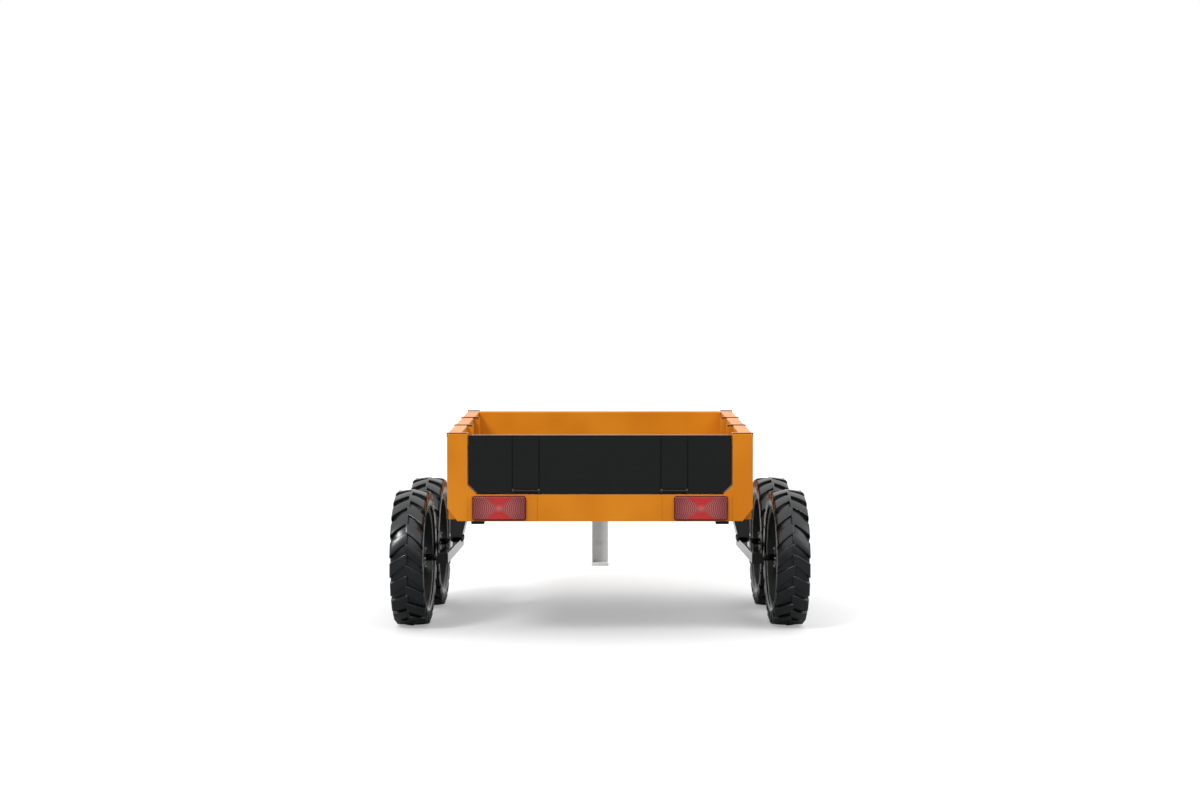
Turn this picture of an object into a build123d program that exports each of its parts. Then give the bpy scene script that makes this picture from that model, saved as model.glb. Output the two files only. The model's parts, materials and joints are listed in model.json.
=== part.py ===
from build123d import *
import os
from math import cos, radians, sin

os.makedirs("parts", exist_ok=True)

# A four-wheel trailer for a pedal go-kart, in millimetres.
# +Y is the way it is towed, +X is its right-hand side, Z = 0 is the ground,
# and the origin is under the middle of its overall box.

SIDES = (("left", -1), ("right", 1))
ENDS = (("rear", -1), ("front", 1))

# ---------------------------------------------------------------- driving sizes
tub_length = 900.0
tub_width = 688.0
tub_height = 198.0
tub_clearance = 275.0  # ground to the underside of the tub
drawbar_reach = 680.0  # tub front to the tip of the hitch eye
wall_thickness = 30.0  # side and front walls, outside to inside
skin = 3.0  # moulded skin of walls and posts
panels_per_side = 3
stake_depth = 13.0
stake_width = 43.0
panel_gap = 2.0
edge_radius = 3.0

# tyre, rim and hub
wheel_radius = 160.0
tyre_width = 78.0
tyre_wall = 9.0
tyre_section = 40.0  # tread to the rim's edge
rim_lip = 10.0  # rim's edge to the bead seat
rim_width = 66.0
rim_skin = 3.0
bead_seat_gap = 0.5  # tyre to rim
bead_thickness = 8.0
bead_side_gap = 1.0
shoulder_drop = 12.0
shoulder_inset = 8.0
sidewall_round = 2.0
hub_flare = 8.0
hub_width = 52.0
hub_radius = 22.0
rim_windows = 5
window_inner_radius = 50.0
window_from_bead = 12.0
window_share = 0.66  # of each window's share of the turn
window_corner = 6.0
bearing_radius = 14.0
bearing_width = 8.0
journal_radius = 6.0
running_clearance = 0.06  # radial play of a shaft that turns
seat_clearance = 0.05  # radial play of a piece that is pressed or welded in
end_play = 0.3  # gap between faces that slide past each other

# rocker beams, two axles each
axle_spacing = 345.0
rocker_from_rear = 462.5  # tub rear face to the rocker's pivot
rocker_beyond_tub = 19.3  # tub's side face to the middle of the beam, at the pivot
rocker_toe_in = 2.4  # degrees: the front wheels stand closer together
beam_size = 25.0
beam_wall = 2.0
beam_overhang = 20.0  # beyond each axle
wheel_offset = 71.5  # beam's middle to the wheel's middle
stub_radius = 8.0
thread_radius = 5.0
nut_across_flats = 17.0
nut_height = 8.0
rocker_pivot_rise = 30.0  # axles to the rocker's pivot
pivot_pin_radius = 6.0
pivot_bush_radius = 8.0
pivot_bush_length = 9.0
pivot_boss_radius = 12.0
saddle_spread = 1.8  # half width at the beam over the boss's radius
cap_plate = 3.0
cap_plug = 14.0
cap_plug_wall = 2.5
axle_tail = 1.5  # thread beyond the nut

# hangers that carry the rockers
hanger_outer_x = -1.3  # across the beam from its middle
hanger_bottom_width = 28.0
hanger_top_width = 40.0
hanger_plate = 4.0
hanger_depth = 60.0
hanger_skirt_rise = 3.0  # rocker's pivot to the hanger's skirt
hanger_ear_radius = 12.0
hanger_taper_wall = 1.5  # slanted wall over the plate's thickness

# pivot pins and the clips that keep them
pin_head_radius = 9.0
pin_head_height = 3.5
circlip_thickness = 1.5
pin_tail = 3.5
clip_seat_margin = 0.5

# ladder frame
rail_width = 30.0
rail_height = 40.0
rail_wall = 2.0
rail_to_post = 7.0
rail_drop = 8.0  # how far the rails hang below the tub
rail_inset = 20.0  # tub rear face to the rail's end
rail_front_inset = 40.0
cross_depth = 40.0
cross_height = 28.0
front_cross_inset = 90.0
rear_cross_from_rear = 120.0
rear_cross_size = 30.0
drawbar_size = 40.0
drawbar_wall = 2.5
drawbar_notch_gap = 3.0
chassis_bolt_radius = 4.0
bolt_play = 0.1
bolt_head_height = 5.3
bolt_head_across_flats = 13.0
bolt_tail = 10.0

# hitch eye
eye_radius = 22.0
eye_bore_radius = 10.0
eye_height = 26.0
eye_shank = 60.0

# tipping hinge and the floor
tip_axis_from_rear = 60.0
tip_axis_above_rail = 20.0
tip_pin_radius = 6.0
tip_lug_thickness = 5.0
tip_lug_radius = 12.0
tip_lug_gap = 0.5
tip_pin_head = 3.0
tip_pin_tail = 1.5
tip_lug_corner = 8.0
joist_height = 27.0
joist_depth = 30.0
joist_wall = 2.0
rear_joist_from_axis = 12.0
floor_thickness = 3.0
floor_rear_gap = 20.0
fit_gap = 1.0  # between neighbouring panels of the tub
floor_bolt_radius = 3.0
floor_bolt_head = 7.0
floor_bolt_crown = 3.0
floor_bolt_tail = 3.0
floor_bolt_xs = (-240.0, -80.0, 80.0, 240.0)
bolt_crown_round = 0.7  # of the crown's height
side_bolt_radius = 4.0
side_bolt_head = 9.0
side_bolt_crown = 4.0
panel_field_depth = 4.0
panel_field_low = 345.0
panel_field_high = 455.0
panel_frame = 22.0
front_frame = 30.0
panel_field_corner = 10.0

# rear corner posts, sill and tailgate
post_width = 46.0
post_depth = 46.0
post_chamfer_x = 23.0
post_chamfer_z = 29.0
post_top_chamfer = 5.0
gate_depth = 16.0
gate_skin = 3.0
gate_recess = 2.0  # gate face ahead of the posts' rear faces
gate_corner = 21.0
gate_top_gap = 4.0
gate_side_gap = 1.5
gate_sill_gap = 2.5
gate_border = 10.0
gate_rib_x = 167.0
gate_rib_width = 60.0
gate_rib_height = 2.0
gate_rib_end_gap = 10.0
gate_rib_top_gap = 2.0
gate_rib_corner = 4.0
gate_rib_taper = 20.0
gate_knuckle_clearance = 0.5
gate_knuckle_block = 8.0  # up the gate from the knuckle's axis
gate_hinge_y = 3.0
gate_hinge_rise = 5.0  # axis above the gate's lower edge
gate_knuckle_radius = 4.5
gate_knuckle_length = 54.0
gate_pin_radius = 2.5
gate_eye_radius = 4.0
gate_eye_thickness = 3.0
gate_eye_stem = 6.0
sill_skin = 3.0
sill_below_floor = 1.5
sill_side_gap = 0.5
sill_corner_drop = 2.0  # lets the gate's lower corners swing past
sill_flange = 12.0

# gate bolts, drawn back at rest
gate_bolt_radius = 4.0
gate_bolt_length = 80.0
gate_bolt_tip_gap = 4.0  # bolt's tip to the gate's edge, drawn back
gate_bolt_drop = 33.0  # below the top of the tub
gate_bolt_chamfer = 1.0
gate_bolt_hole_play = 0.5
guide_from_tip = 8.0
knob_gap = 1.0
guide_size = 16.0
guide_length = 10.0
guide_pitch = 44.0
knob_radius = 4.0
knob_length = 16.0

# reflectors
reflector_from_post = 71.0
reflector_width = 121.0
reflector_height = 55.0
reflector_corner = 5.0
reflector_thickness = 8.0
reflector_pad_width = 155.0
reflector_pad_thickness = 1.5
reflector_pad_margin = 1.0
reflector_pad_corner = 2.0
reflector_edge_round = 1.5

# support leg, leaning forward so that its load keeps it open
leg_from_rear = 1440.0
leg_lean = 8.0
leg_plate = 3.0
leg_side_gap = 0.5
leg_top_radius = 14.0
leg_bolt_radius = 5.0
leg_web_gap = 1.0
leg_web_start = 26.0
foot_length = 60.0
foot_height = 8.0
foot_corner = 6.0
leg_bolt_head = 6.4
leg_bolt_across_flats = 17.0
leg_bolt_play = 0.5

# tipping latch, swung open at rest
latch_axis_ahead = 46.0
latch_axis_rise = 24.0
latch_plate = 6.0
latch_ear = 5.0
latch_pin_radius = 4.0
latch_arm_radius = 9.0
latch_reach = 42.0
latch_handle = 95.0
latch_swing = 40.0
keeper_width = 16.0
keeper_depth = 18.0
keeper_height = 8.0
keeper_drop = 3.0
keeper_plate = 3.0
hook_gap = 1.0
latch_foot_spread = 1.6  # half width at the rail over the arm's radius
latch_pin_head = 2.0
latch_heel = 6.0
latch_handle_lean = 8.0
latch_handle_taper = 6.0

# ------------------------------------------------------------- worked-out places
axle_z = wheel_radius
rim_radius = wheel_radius - tyre_section
bead_radius = rim_radius - rim_lip
window_outer_radius = bead_radius - window_from_bead
rocker_pivot_height = axle_z + rocker_pivot_rise
hanger_skirt_height = rocker_pivot_height + hanger_skirt_rise

reflector_proud = reflector_pad_thickness + reflector_thickness
overall_length = reflector_proud + tub_length + drawbar_reach
rear_y = reflector_proud - overall_length / 2
tub_front_y = rear_y + tub_length
hitch_y = tub_front_y + drawbar_reach - eye_radius
rocker_y = rear_y + rocker_from_rear
leg_y = rear_y + leg_from_rear

tub_top_z = tub_clearance + tub_height
rail_bottom_z = tub_clearance - rail_drop
rail_top_z = rail_bottom_z + rail_height
rail_middle_z = (rail_bottom_z + rail_top_z) / 2
drawbar_top_z = rail_bottom_z + drawbar_size
hitch_z = rail_bottom_z + drawbar_size / 2
cross_bottom_z = rail_bottom_z - cross_height
floor_z = rail_top_z + joist_height + floor_thickness
inner_x = tub_width / 2 - wall_thickness
post_inner_x = tub_width / 2 - post_width
rail_x = post_inner_x - rail_to_post - rail_width / 2
rocker_x = tub_width / 2 + rocker_beyond_tub
reflector_x = post_inner_x - reflector_from_post
front_cross_y = tub_front_y - front_cross_inset

tip_y = rear_y + tip_axis_from_rear
tip_z = rail_bottom_z + tip_axis_above_rail

sill_top_z = floor_z - sill_below_floor
gate_bottom_z = sill_top_z + gate_sill_gap
gate_top_z = tub_top_z - gate_top_gap
gate_half_width = post_inner_x - gate_side_gap
gate_rear_y = rear_y + gate_recess
gate_axis_y = rear_y + gate_hinge_y
gate_axis_z = gate_bottom_z + gate_hinge_rise
gate_bolt_y = gate_rear_y + gate_depth + guide_size / 2
gate_bolt_z = tub_top_z - gate_bolt_drop

joist_ys = (
    tip_y + rear_joist_from_axis + joist_depth / 2,
    (rear_y + tub_front_y) / 2,
    tub_front_y - wall_thickness - joist_depth,
)

floor_bolt_places = [(x, y) for y in joist_ys for x in floor_bolt_xs]

print("overall length", overall_length, "rear face y", rear_y, "pivot y", rocker_y)
print("floor top z", floor_z, "tip axis", tip_y, tip_z, "gate axis", gate_axis_y, gate_axis_z)


# --------------------------------------------------------------------- helpers
def facing_back(y):
    """A plane across the trailer: sketch x is +X, sketch y is +Z, extrude forward with minus."""
    return Plane.XZ.offset(-y)


def facing_right(x):
    """A plane along the trailer: sketch x is +Y, sketch y is +Z."""
    return Plane.YZ.offset(x)


def rocker_frame(side):
    """The rocker's own frame: x points outward, y along the beam, z up, origin at the ground."""
    toe = radians(rocker_toe_in)
    return Plane(
        origin=(side * rocker_x, rocker_y, 0),
        x_dir=(side * cos(toe), sin(toe), 0),
        z_dir=(0, 0, 1),
    )


def beamwise(frame, across=0.0):
    """Along the beam: sketch x is the frame's y, sketch y is z, extruded outward."""
    origin = frame.from_local_coords(Vector(across, 0, 0))
    return Plane(origin=origin, x_dir=frame.y_dir, z_dir=frame.x_dir)


def crosswise(frame, along=0.0):
    """Across the beam: sketch x is the frame's x, sketch y is z."""
    origin = frame.from_local_coords(Vector(0, along, 0))
    return Plane(origin=origin, x_dir=frame.x_dir, z_dir=-frame.y_dir)


def tube_section(width, height, wall):
    """A rectangular tube's section, in the sketch that is open."""
    RectangleRounded(width, height, wall)
    Rectangle(width - 2 * wall, height - 2 * wall, mode=Mode.SUBTRACT)


def end_of(side, end):
    """Where an end's axle lies along its rocker frame, which points backward on the left."""
    return side * end * axle_spacing / 2


# --------------------------------------------------------------- chassis: frame
for side_name, side in SIDES:
    with BuildPart() as rail:
        with BuildSketch(facing_back(rear_y + rail_inset)):
            with Locations((side * rail_x, rail_middle_z)):
                tube_section(rail_width, rail_height, rail_wall)
        extrude(amount=-(tub_length - rail_inset - rail_front_inset))
        with BuildSketch(facing_right(side * rail_x - rail_width)):
            with Locations((tip_y, tip_z)):
                Circle(tip_pin_radius + seat_clearance)
        extrude(amount=2 * rail_width, mode=Mode.SUBTRACT)
        with BuildSketch(Plane.XY.offset(rail_bottom_z - 1)):
            with Locations((side * rail_x, rocker_y), (side * rail_x, front_cross_y)):
                Circle(chassis_bolt_radius + bolt_play)
        extrude(amount=rail_wall + 2, mode=Mode.SUBTRACT)
    rail.part.label = f"chassis_rail_{side_name}"
    export_step(rail.part, f"parts/chassis_rail_{side_name}.step")

cross_members = (
    ("middle", rocker_y, rocker_x + hanger_outer_x),
    ("front", front_cross_y, rail_x + rail_width / 2),
)
for name, y, half_length in cross_members:
    with BuildPart() as cross_member:
        with BuildSketch(facing_right(-half_length)):
            with Locations((y, cross_bottom_z + cross_height / 2)):
                tube_section(cross_depth, cross_height, rail_wall)
        extrude(amount=2 * half_length)
        with BuildSketch(Plane.XY.offset(cross_bottom_z - 1)):
            with Locations((-rail_x, y), (0, y), (rail_x, y)):
                Circle(chassis_bolt_radius + bolt_play)
        extrude(amount=cross_height + 2, mode=Mode.SUBTRACT)
    cross_member.part.label = f"{name}_cross_member"
    export_step(cross_member.part, f"parts/{name}_cross_member.step")

with BuildPart() as rear_cross_member:
    half_length = rail_x - rail_width / 2
    with BuildSketch(facing_right(-half_length)):
        with Locations((rear_y + rear_cross_from_rear, rail_top_z - rear_cross_size / 2)):
            tube_section(rear_cross_size, rear_cross_size, rail_wall)
    extrude(amount=2 * half_length)
rear_cross_member.part.label = "rear_cross_member"
export_step(rear_cross_member.part, "parts/rear_cross_member.step")

drawbar_rear_y = rocker_y - cross_depth / 2
drawbar_front_y = hitch_y - eye_radius
with BuildPart() as drawbar:
    with BuildSketch(facing_back(drawbar_rear_y)):
        with Locations((0, hitch_z)):
            tube_section(drawbar_size, drawbar_size, drawbar_wall)
    extrude(amount=-(drawbar_front_y - drawbar_rear_y))
    with BuildSketch(Plane.XY.offset(rail_bottom_z - 1)):
        with Locations((0, rocker_y), (0, front_cross_y)):
            Circle(chassis_bolt_radius + bolt_play)
    extrude(amount=drawbar_wall + 2, mode=Mode.SUBTRACT)
    with BuildSketch(facing_right(-drawbar_size)):
        with Locations((leg_y, hitch_z)):
            Circle(leg_bolt_radius + seat_clearance)
    extrude(amount=2 * drawbar_size, mode=Mode.SUBTRACT)
drawbar.part.label = "drawbar"
export_step(drawbar.part, "parts/drawbar.step")

shank_size = drawbar_size - 2 * drawbar_wall - 2 * seat_clearance
with BuildPart() as hitch_eye:
    with BuildSketch(Plane.XY.offset(hitch_z - eye_height / 2)):
        with Locations((0, hitch_y)):
            Circle(eye_radius)
    extrude(amount=eye_height)
    with BuildSketch(Plane.XY.offset(hitch_z - eye_height / 2)):
        with Locations((0, hitch_y - eye_shank / 2)):
            Rectangle(shank_size, eye_shank)
    extrude(amount=eye_height)
    with BuildSketch(facing_back(hitch_y - eye_radius - eye_shank / 2)):
        with Locations((0, hitch_z)):
            Rectangle(shank_size, shank_size)
    extrude(amount=-eye_shank / 2)
    with BuildSketch(Plane.XY.offset(hitch_z - eye_height)):
        with Locations((0, hitch_y)):
            Circle(eye_bore_radius)
    extrude(amount=2 * eye_height, mode=Mode.SUBTRACT)
hitch_eye.part.label = "hitch_eye"
export_step(hitch_eye.part, "parts/hitch_eye.step")

bolt_places = [(x, y) for y in (rocker_y, front_cross_y) for x in (-rail_x, 0, rail_x)]
with BuildPart() as chassis_bolts:
    with BuildSketch(Plane.XY.offset(cross_bottom_z - bolt_head_height)):
        with Locations(*bolt_places):
            RegularPolygon(bolt_head_across_flats / 2, 6, major_radius=False)
    extrude(amount=bolt_head_height)
    with BuildSketch(Plane.XY.offset(cross_bottom_z)):
        with Locations(*bolt_places):
            Circle(chassis_bolt_radius)
    extrude(amount=cross_height + rail_wall + bolt_tail)
chassis_bolts.part.label = "chassis_bolts"
export_step(chassis_bolts.part, "parts/chassis_bolts.step")

# ------------------------------------------------------------- chassis: hangers
for side_name, side in SIDES:
    frame = rocker_frame(side)
    outer = hanger_outer_x
    inner = outer - hanger_bottom_width
    top_inner = outer - hanger_top_width
    with BuildPart() as hanger:
        with BuildSketch(crosswise(frame, hanger_depth / 2)):
            with BuildLine():
                Polyline(
                    (outer, hanger_skirt_height),
                    (outer, cross_bottom_z),
                    (top_inner, cross_bottom_z),
                    (inner, hanger_skirt_height),
                    close=True,
                )
            make_face()
        extrude(amount=hanger_depth)
        with BuildSketch(crosswise(frame, hanger_depth / 2 - hanger_plate)):
            with BuildLine():
                Polyline(
                    (outer - hanger_plate, hanger_skirt_height - 1),
                    (outer - hanger_plate, cross_bottom_z - hanger_plate),
                    (top_inner + hanger_taper_wall * hanger_plate, cross_bottom_z - hanger_plate),
                    (inner + hanger_plate, hanger_skirt_height - 1),
                    close=True,
                )
            make_face()
        extrude(amount=hanger_depth - 2 * hanger_plate, mode=Mode.SUBTRACT)
        for ear in (outer - hanger_plate, inner):
            with BuildSketch(beamwise(frame, ear)):
                with Locations((0, rocker_pivot_height)):
                    Circle(hanger_ear_radius)
                with Locations((0, hanger_skirt_height)):
                    Rectangle(
                        2 * hanger_ear_radius,
                        2 * (hanger_skirt_height - rocker_pivot_height),
                    )
            extrude(amount=hanger_plate)
        with BuildSketch(beamwise(frame, top_inner)):
            with Locations((0, rocker_pivot_height)):
                Circle(pivot_pin_radius + seat_clearance)
        extrude(amount=hanger_top_width + 1, mode=Mode.SUBTRACT)
        # a flat seat for the pin's clip
        with BuildSketch(beamwise(frame, inner)):
            with Locations((0, rocker_pivot_height)):
                Circle(pin_head_radius + clip_seat_margin)
        extrude(amount=-hanger_plate, mode=Mode.SUBTRACT)
    hanger.part.label = f"rocker_hanger_{side_name}"
    export_step(hanger.part, f"parts/rocker_hanger_{side_name}.step")

with BuildPart() as pivot_pins:
    for side_name, side in SIDES:
        frame = rocker_frame(side)
        pin_length = hanger_bottom_width + pin_tail
        with BuildSketch(beamwise(frame, hanger_outer_x - pin_length)):
            with Locations((0, rocker_pivot_height)):
                Circle(pivot_pin_radius)
        extrude(amount=pin_length)
        with BuildSketch(beamwise(frame, hanger_outer_x)):
            with Locations((0, rocker_pivot_height)):
                Circle(pin_head_radius)
        extrude(amount=pin_head_height)
pivot_pins.part.label = "rocker_pivot_pins"
export_step(pivot_pins.part, "parts/rocker_pivot_pins.step")

with BuildPart() as pivot_clips:
    for side_name, side in SIDES:
        frame = rocker_frame(side)
        inner = hanger_outer_x - hanger_bottom_width
        with BuildSketch(beamwise(frame, inner - seat_clearance - circlip_thickness)):
            with Locations((0, rocker_pivot_height)):
                Circle(pin_head_radius)
                Circle(pivot_pin_radius + seat_clearance, mode=Mode.SUBTRACT)
        extrude(amount=circlip_thickness)
pivot_clips.part.label = "rocker_pivot_clips"
export_step(pivot_clips.part, "parts/rocker_pivot_clips.step")

# -------------------------------------------------------------------- rockers
beam_top_z = axle_z + beam_size / 2
beam_length = axle_spacing + 2 * beam_overhang
boss_outer = hanger_outer_x - hanger_plate - end_play
boss_inner = hanger_outer_x - hanger_bottom_width + hanger_plate + end_play
boss_length = boss_outer - boss_inner
hub_inner = wheel_offset - hub_width / 2
hub_outer = wheel_offset + hub_width / 2

for side_name, side in SIDES:
    frame = rocker_frame(side)
    with BuildPart() as beam:
        with BuildSketch(crosswise(frame, beam_length / 2)):
            with Locations((0, axle_z)):
                tube_section(beam_size, beam_size, beam_wall)
        extrude(amount=beam_length)
        with BuildSketch(beamwise(frame, -beam_size)):
            with Locations((-axle_spacing / 2, axle_z), (axle_spacing / 2, axle_z)):
                Circle(stub_radius + seat_clearance)
        extrude(amount=2 * beam_size, mode=Mode.SUBTRACT)
        # the pivot boss, and the saddle under it that stands on the beam
        with BuildSketch(beamwise(frame, boss_inner)):
            with Locations((0, rocker_pivot_height)):
                Circle(pivot_boss_radius)
            with BuildLine():
                Polyline(
                    (-pivot_boss_radius, rocker_pivot_height),
                    (-saddle_spread * pivot_boss_radius, beam_top_z),
                    (saddle_spread * pivot_boss_radius, beam_top_z),
                    (pivot_boss_radius, rocker_pivot_height),
                    close=True,
                )
            make_face()
        extrude(amount=boss_length)
        with BuildSketch(crosswise(frame, beam_size)):
            with BuildLine():
                Polyline(
                    (boss_inner - 1, beam_top_z - 1),
                    (boss_inner - 1, beam_top_z - beam_size / 2 - boss_inner),
                    (-beam_size / 2, beam_top_z),
                    (-beam_size / 2, beam_top_z - 1),
                    close=True,
                )
            make_face()
        extrude(amount=2 * beam_size, mode=Mode.SUBTRACT)
        with BuildSketch(beamwise(frame, boss_inner - 1)):
            with Locations((0, rocker_pivot_height)):
                Circle(pivot_bush_radius + seat_clearance)
        extrude(amount=boss_length + 2, mode=Mode.SUBTRACT)
    beam.part.label = f"rocker_beam_{side_name}"
    export_step(beam.part, f"parts/rocker_beam_{side_name}.step")

    with BuildPart() as bushes:
        for start in (boss_inner, boss_outer - pivot_bush_length):
            with BuildSketch(beamwise(frame, start)):
                with Locations((0, rocker_pivot_height)):
                    Circle(pivot_bush_radius)
                    Circle(pivot_pin_radius + running_clearance, mode=Mode.SUBTRACT)
            extrude(amount=pivot_bush_length)
    bushes.part.label = f"pivot_bushes_{side_name}"
    export_step(bushes.part, f"parts/pivot_bushes_{side_name}.step")

    with BuildPart() as end_caps:
        for end in (-1, 1):
            start = end * beam_length / 2
            with BuildSketch(crosswise(frame, start)):
                with Locations((0, axle_z)):
                    RectangleRounded(beam_size, beam_size, beam_wall)
            extrude(amount=-end * cap_plate)
            with BuildSketch(crosswise(frame, start)):
                with Locations((0, axle_z)):
                    plug = beam_size - 2 * beam_wall - 2 * seat_clearance
                    Rectangle(plug, plug)
                    Rectangle(plug - 2 * cap_plug_wall, plug - 2 * cap_plug_wall, mode=Mode.SUBTRACT)
            extrude(amount=end * (cap_plug - cap_plate))
    end_caps.part.label = f"beam_end_caps_{side_name}"
    export_step(end_caps.part, f"parts/beam_end_caps_{side_name}.step")

    with BuildPart() as stub_axles:
        for end in (-1, 1):
            y = end * axle_spacing / 2
            steps = (
                (-beam_size / 2, hub_inner - end_play, stub_radius),
                (hub_inner - end_play, hub_outer + end_play, journal_radius),
                (hub_outer + end_play, hub_outer + nut_height + axle_tail, thread_radius),
            )
            for start, stop, radius in steps:
                with BuildSketch(beamwise(frame, start)):
                    with Locations((y, axle_z)):
                        Circle(radius)
                extrude(amount=stop - start)
    stub_axles.part.label = f"stub_axles_{side_name}"
    export_step(stub_axles.part, f"parts/stub_axles_{side_name}.step")

    with BuildPart() as axle_nuts:
        with BuildSketch(beamwise(frame, hub_outer + end_play)):
            with Locations((-axle_spacing / 2, axle_z), (axle_spacing / 2, axle_z)):
                RegularPolygon(nut_across_flats / 2, 6, major_radius=False)
                Circle(thread_radius + seat_clearance, mode=Mode.SUBTRACT)
        extrude(amount=nut_height)
    axle_nuts.part.label = f"axle_nuts_{side_name}"
    export_step(axle_nuts.part, f"parts/axle_nuts_{side_name}.step")


# --------------------------------------------------------------------- wheels
def wheel_section(frame, along):
    """A plane through a wheel's axle: sketch x is outward along it, sketch y is up."""
    origin = frame.from_local_coords(Vector(wheel_offset, along, axle_z))
    return Plane(origin=origin, x_dir=frame.x_dir, z_dir=-frame.y_dir)


def wheel_axis(section):
    """The axle's line."""
    return Axis(section.origin, section.x_dir)


def wheel_face(frame, along, across):
    """A plane across a wheel's axle: sketch x is along the beam, its origin on the axle."""
    origin = frame.from_local_coords(Vector(wheel_offset + across, along, axle_z))
    return Plane(origin=origin, x_dir=frame.y_dir, z_dir=frame.x_dir)


half = tyre_width / 2
half_rim = rim_width / 2
shoulder_radius = wheel_radius - shoulder_drop
widest_radius = shoulder_radius - shoulder_drop - sidewall_round
tyre_seat_radius = rim_radius + bead_seat_gap
bead_seat_radius = bead_radius + bead_seat_gap
bead_outer_x = half_rim - rim_skin - bead_side_gap
bead_inner_x = bead_outer_x - bead_thickness
window_spread = 360 / rim_windows * window_share
with BuildSketch() as rim_window:
    with BuildLine():
        outer_arc = CenterArc((0, 0), window_outer_radius, -window_spread / 2, window_spread)
        inner_arc = CenterArc((0, 0), window_inner_radius, -window_spread / 2, window_spread)
        Line(outer_arc @ 0, inner_arc @ 0)
        Line(outer_arc @ 1, inner_arc @ 1)
    make_face()
    fillet(rim_window.vertices(), window_corner)

for side_name, side in SIDES:
    for end_name, end in ENDS:
        frame = rocker_frame(side)
        along = end_of(side, end)
        section = wheel_section(frame, along)
        name = f"{end_name}_{side_name}"
        with BuildPart() as tyre:
            with BuildSketch(section):
                with BuildLine():
                    tread = ThreePointArc(
                        (-half + shoulder_inset, shoulder_radius + shoulder_drop / 2),
                        (0, wheel_radius),
                        (half - shoulder_inset, shoulder_radius + shoulder_drop / 2),
                    )
                    right_wall = ThreePointArc(
                        tread @ 1, (half, widest_radius), (half_rim, tyre_seat_radius)
                    )
                    right_bead = Polyline(
                        right_wall @ 1,
                        (bead_outer_x, tyre_seat_radius),
                        (bead_outer_x, bead_seat_radius),
                        (bead_inner_x, bead_seat_radius),
                    )
                    inside = ThreePointArc(
                        right_bead @ 1,
                        (0, wheel_radius - tyre_wall),
                        (-bead_inner_x, bead_seat_radius),
                    )
                    left_bead = Polyline(
                        inside @ 1,
                        (-bead_outer_x, bead_seat_radius),
                        (-bead_outer_x, tyre_seat_radius),
                        (-half_rim, tyre_seat_radius),
                    )
                    ThreePointArc(left_bead @ 1, (-half, widest_radius), tread @ 0)
                make_face()
            revolve(axis=wheel_axis(section))
        tyre.part.label = f"tyre_{name}"
        export_step(tyre.part, f"parts/tyre_{name}.step")

        with BuildPart() as rim:
            with BuildSketch(section):
                with BuildLine():
                    Polyline(
                        (-half_rim, rim_radius),
                        (-half_rim + rim_skin, rim_radius),
                        (-half_rim + rim_skin, bead_radius),
                        (half_rim - rim_skin, bead_radius),
                        (half_rim - rim_skin, rim_radius),
                        (half_rim, rim_radius),
                        (half_rim, bead_radius - rim_skin),
                        (rim_skin, bead_radius - rim_skin),
                        (rim_skin, hub_radius + hub_flare),
                        (hub_width / 2, hub_radius),
                        (hub_width / 2, bearing_radius + seat_clearance),
                        (-hub_width / 2, bearing_radius + seat_clearance),
                        (-hub_width / 2, hub_radius),
                        (-rim_skin, hub_radius + hub_flare),
                        (-rim_skin, bead_radius - rim_skin),
                        (-half_rim, bead_radius - rim_skin),
                        close=True,
                    )
                make_face()
            revolve(axis=wheel_axis(section))
            with BuildSketch(wheel_face(frame, along, -rim_skin - 1)):
                with PolarLocations(0, rim_windows, start_angle=90):
                    add(rim_window.sketch)
            extrude(amount=2 * rim_skin + 2, mode=Mode.SUBTRACT)
        rim.part.label = f"rim_{name}"
        export_step(rim.part, f"parts/rim_{name}.step")

        with BuildPart() as bearings:
            for start in (-hub_width / 2, hub_width / 2 - bearing_width):
                with BuildSketch(wheel_face(frame, along, start)):
                    Circle(bearing_radius)
                    Circle(journal_radius + running_clearance, mode=Mode.SUBTRACT)
                extrude(amount=bearing_width)
        bearings.part.label = f"bearings_{name}"
        export_step(bearings.part, f"parts/bearings_{name}.step")


# ------------------------------------------------------------------- tub: floor
with BuildPart() as tub_floor:
    floor_rear_y = rear_y + floor_rear_gap
    floor_front_y = tub_front_y - wall_thickness - fit_gap
    with BuildSketch(Plane.XY.offset(floor_z - floor_thickness)):
        with Locations((0, (floor_rear_y + floor_front_y) / 2)):
            Rectangle(2 * (inner_x - fit_gap), floor_front_y - floor_rear_y)
        for side_name, side in SIDES:
            with Locations((side * (inner_x + post_inner_x) / 2, rear_y + post_depth / 2)):
                Rectangle(
                    inner_x - post_inner_x + 2 * fit_gap,
                    post_depth + 2 * fit_gap,
                    mode=Mode.SUBTRACT,
                )
    extrude(amount=floor_thickness)
    with BuildSketch(Plane.XY.offset(floor_z - floor_thickness - 1)):
        with Locations(*floor_bolt_places):
            Circle(floor_bolt_radius + bolt_play)
    extrude(amount=floor_thickness + 2, mode=Mode.SUBTRACT)
tub_floor.part.label = "tub_floor"
export_step(tub_floor.part, "parts/tub_floor.step")

with BuildPart() as joists:
    for y in joist_ys:
        with BuildSketch(facing_right(-inner_x + fit_gap)):
            with Locations((y, rail_top_z + joist_height / 2)):
                tube_section(joist_depth, joist_height, joist_wall)
        extrude(amount=2 * (inner_x - fit_gap))
    with BuildSketch(Plane.XY.offset(rail_top_z + joist_height - joist_wall - 1)):
        with Locations(*floor_bolt_places):
            Circle(floor_bolt_radius + bolt_play)
    extrude(amount=joist_wall + 2, mode=Mode.SUBTRACT)
joists.part.label = "floor_joists"
export_step(joists.part, "parts/floor_joists.step")

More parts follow.
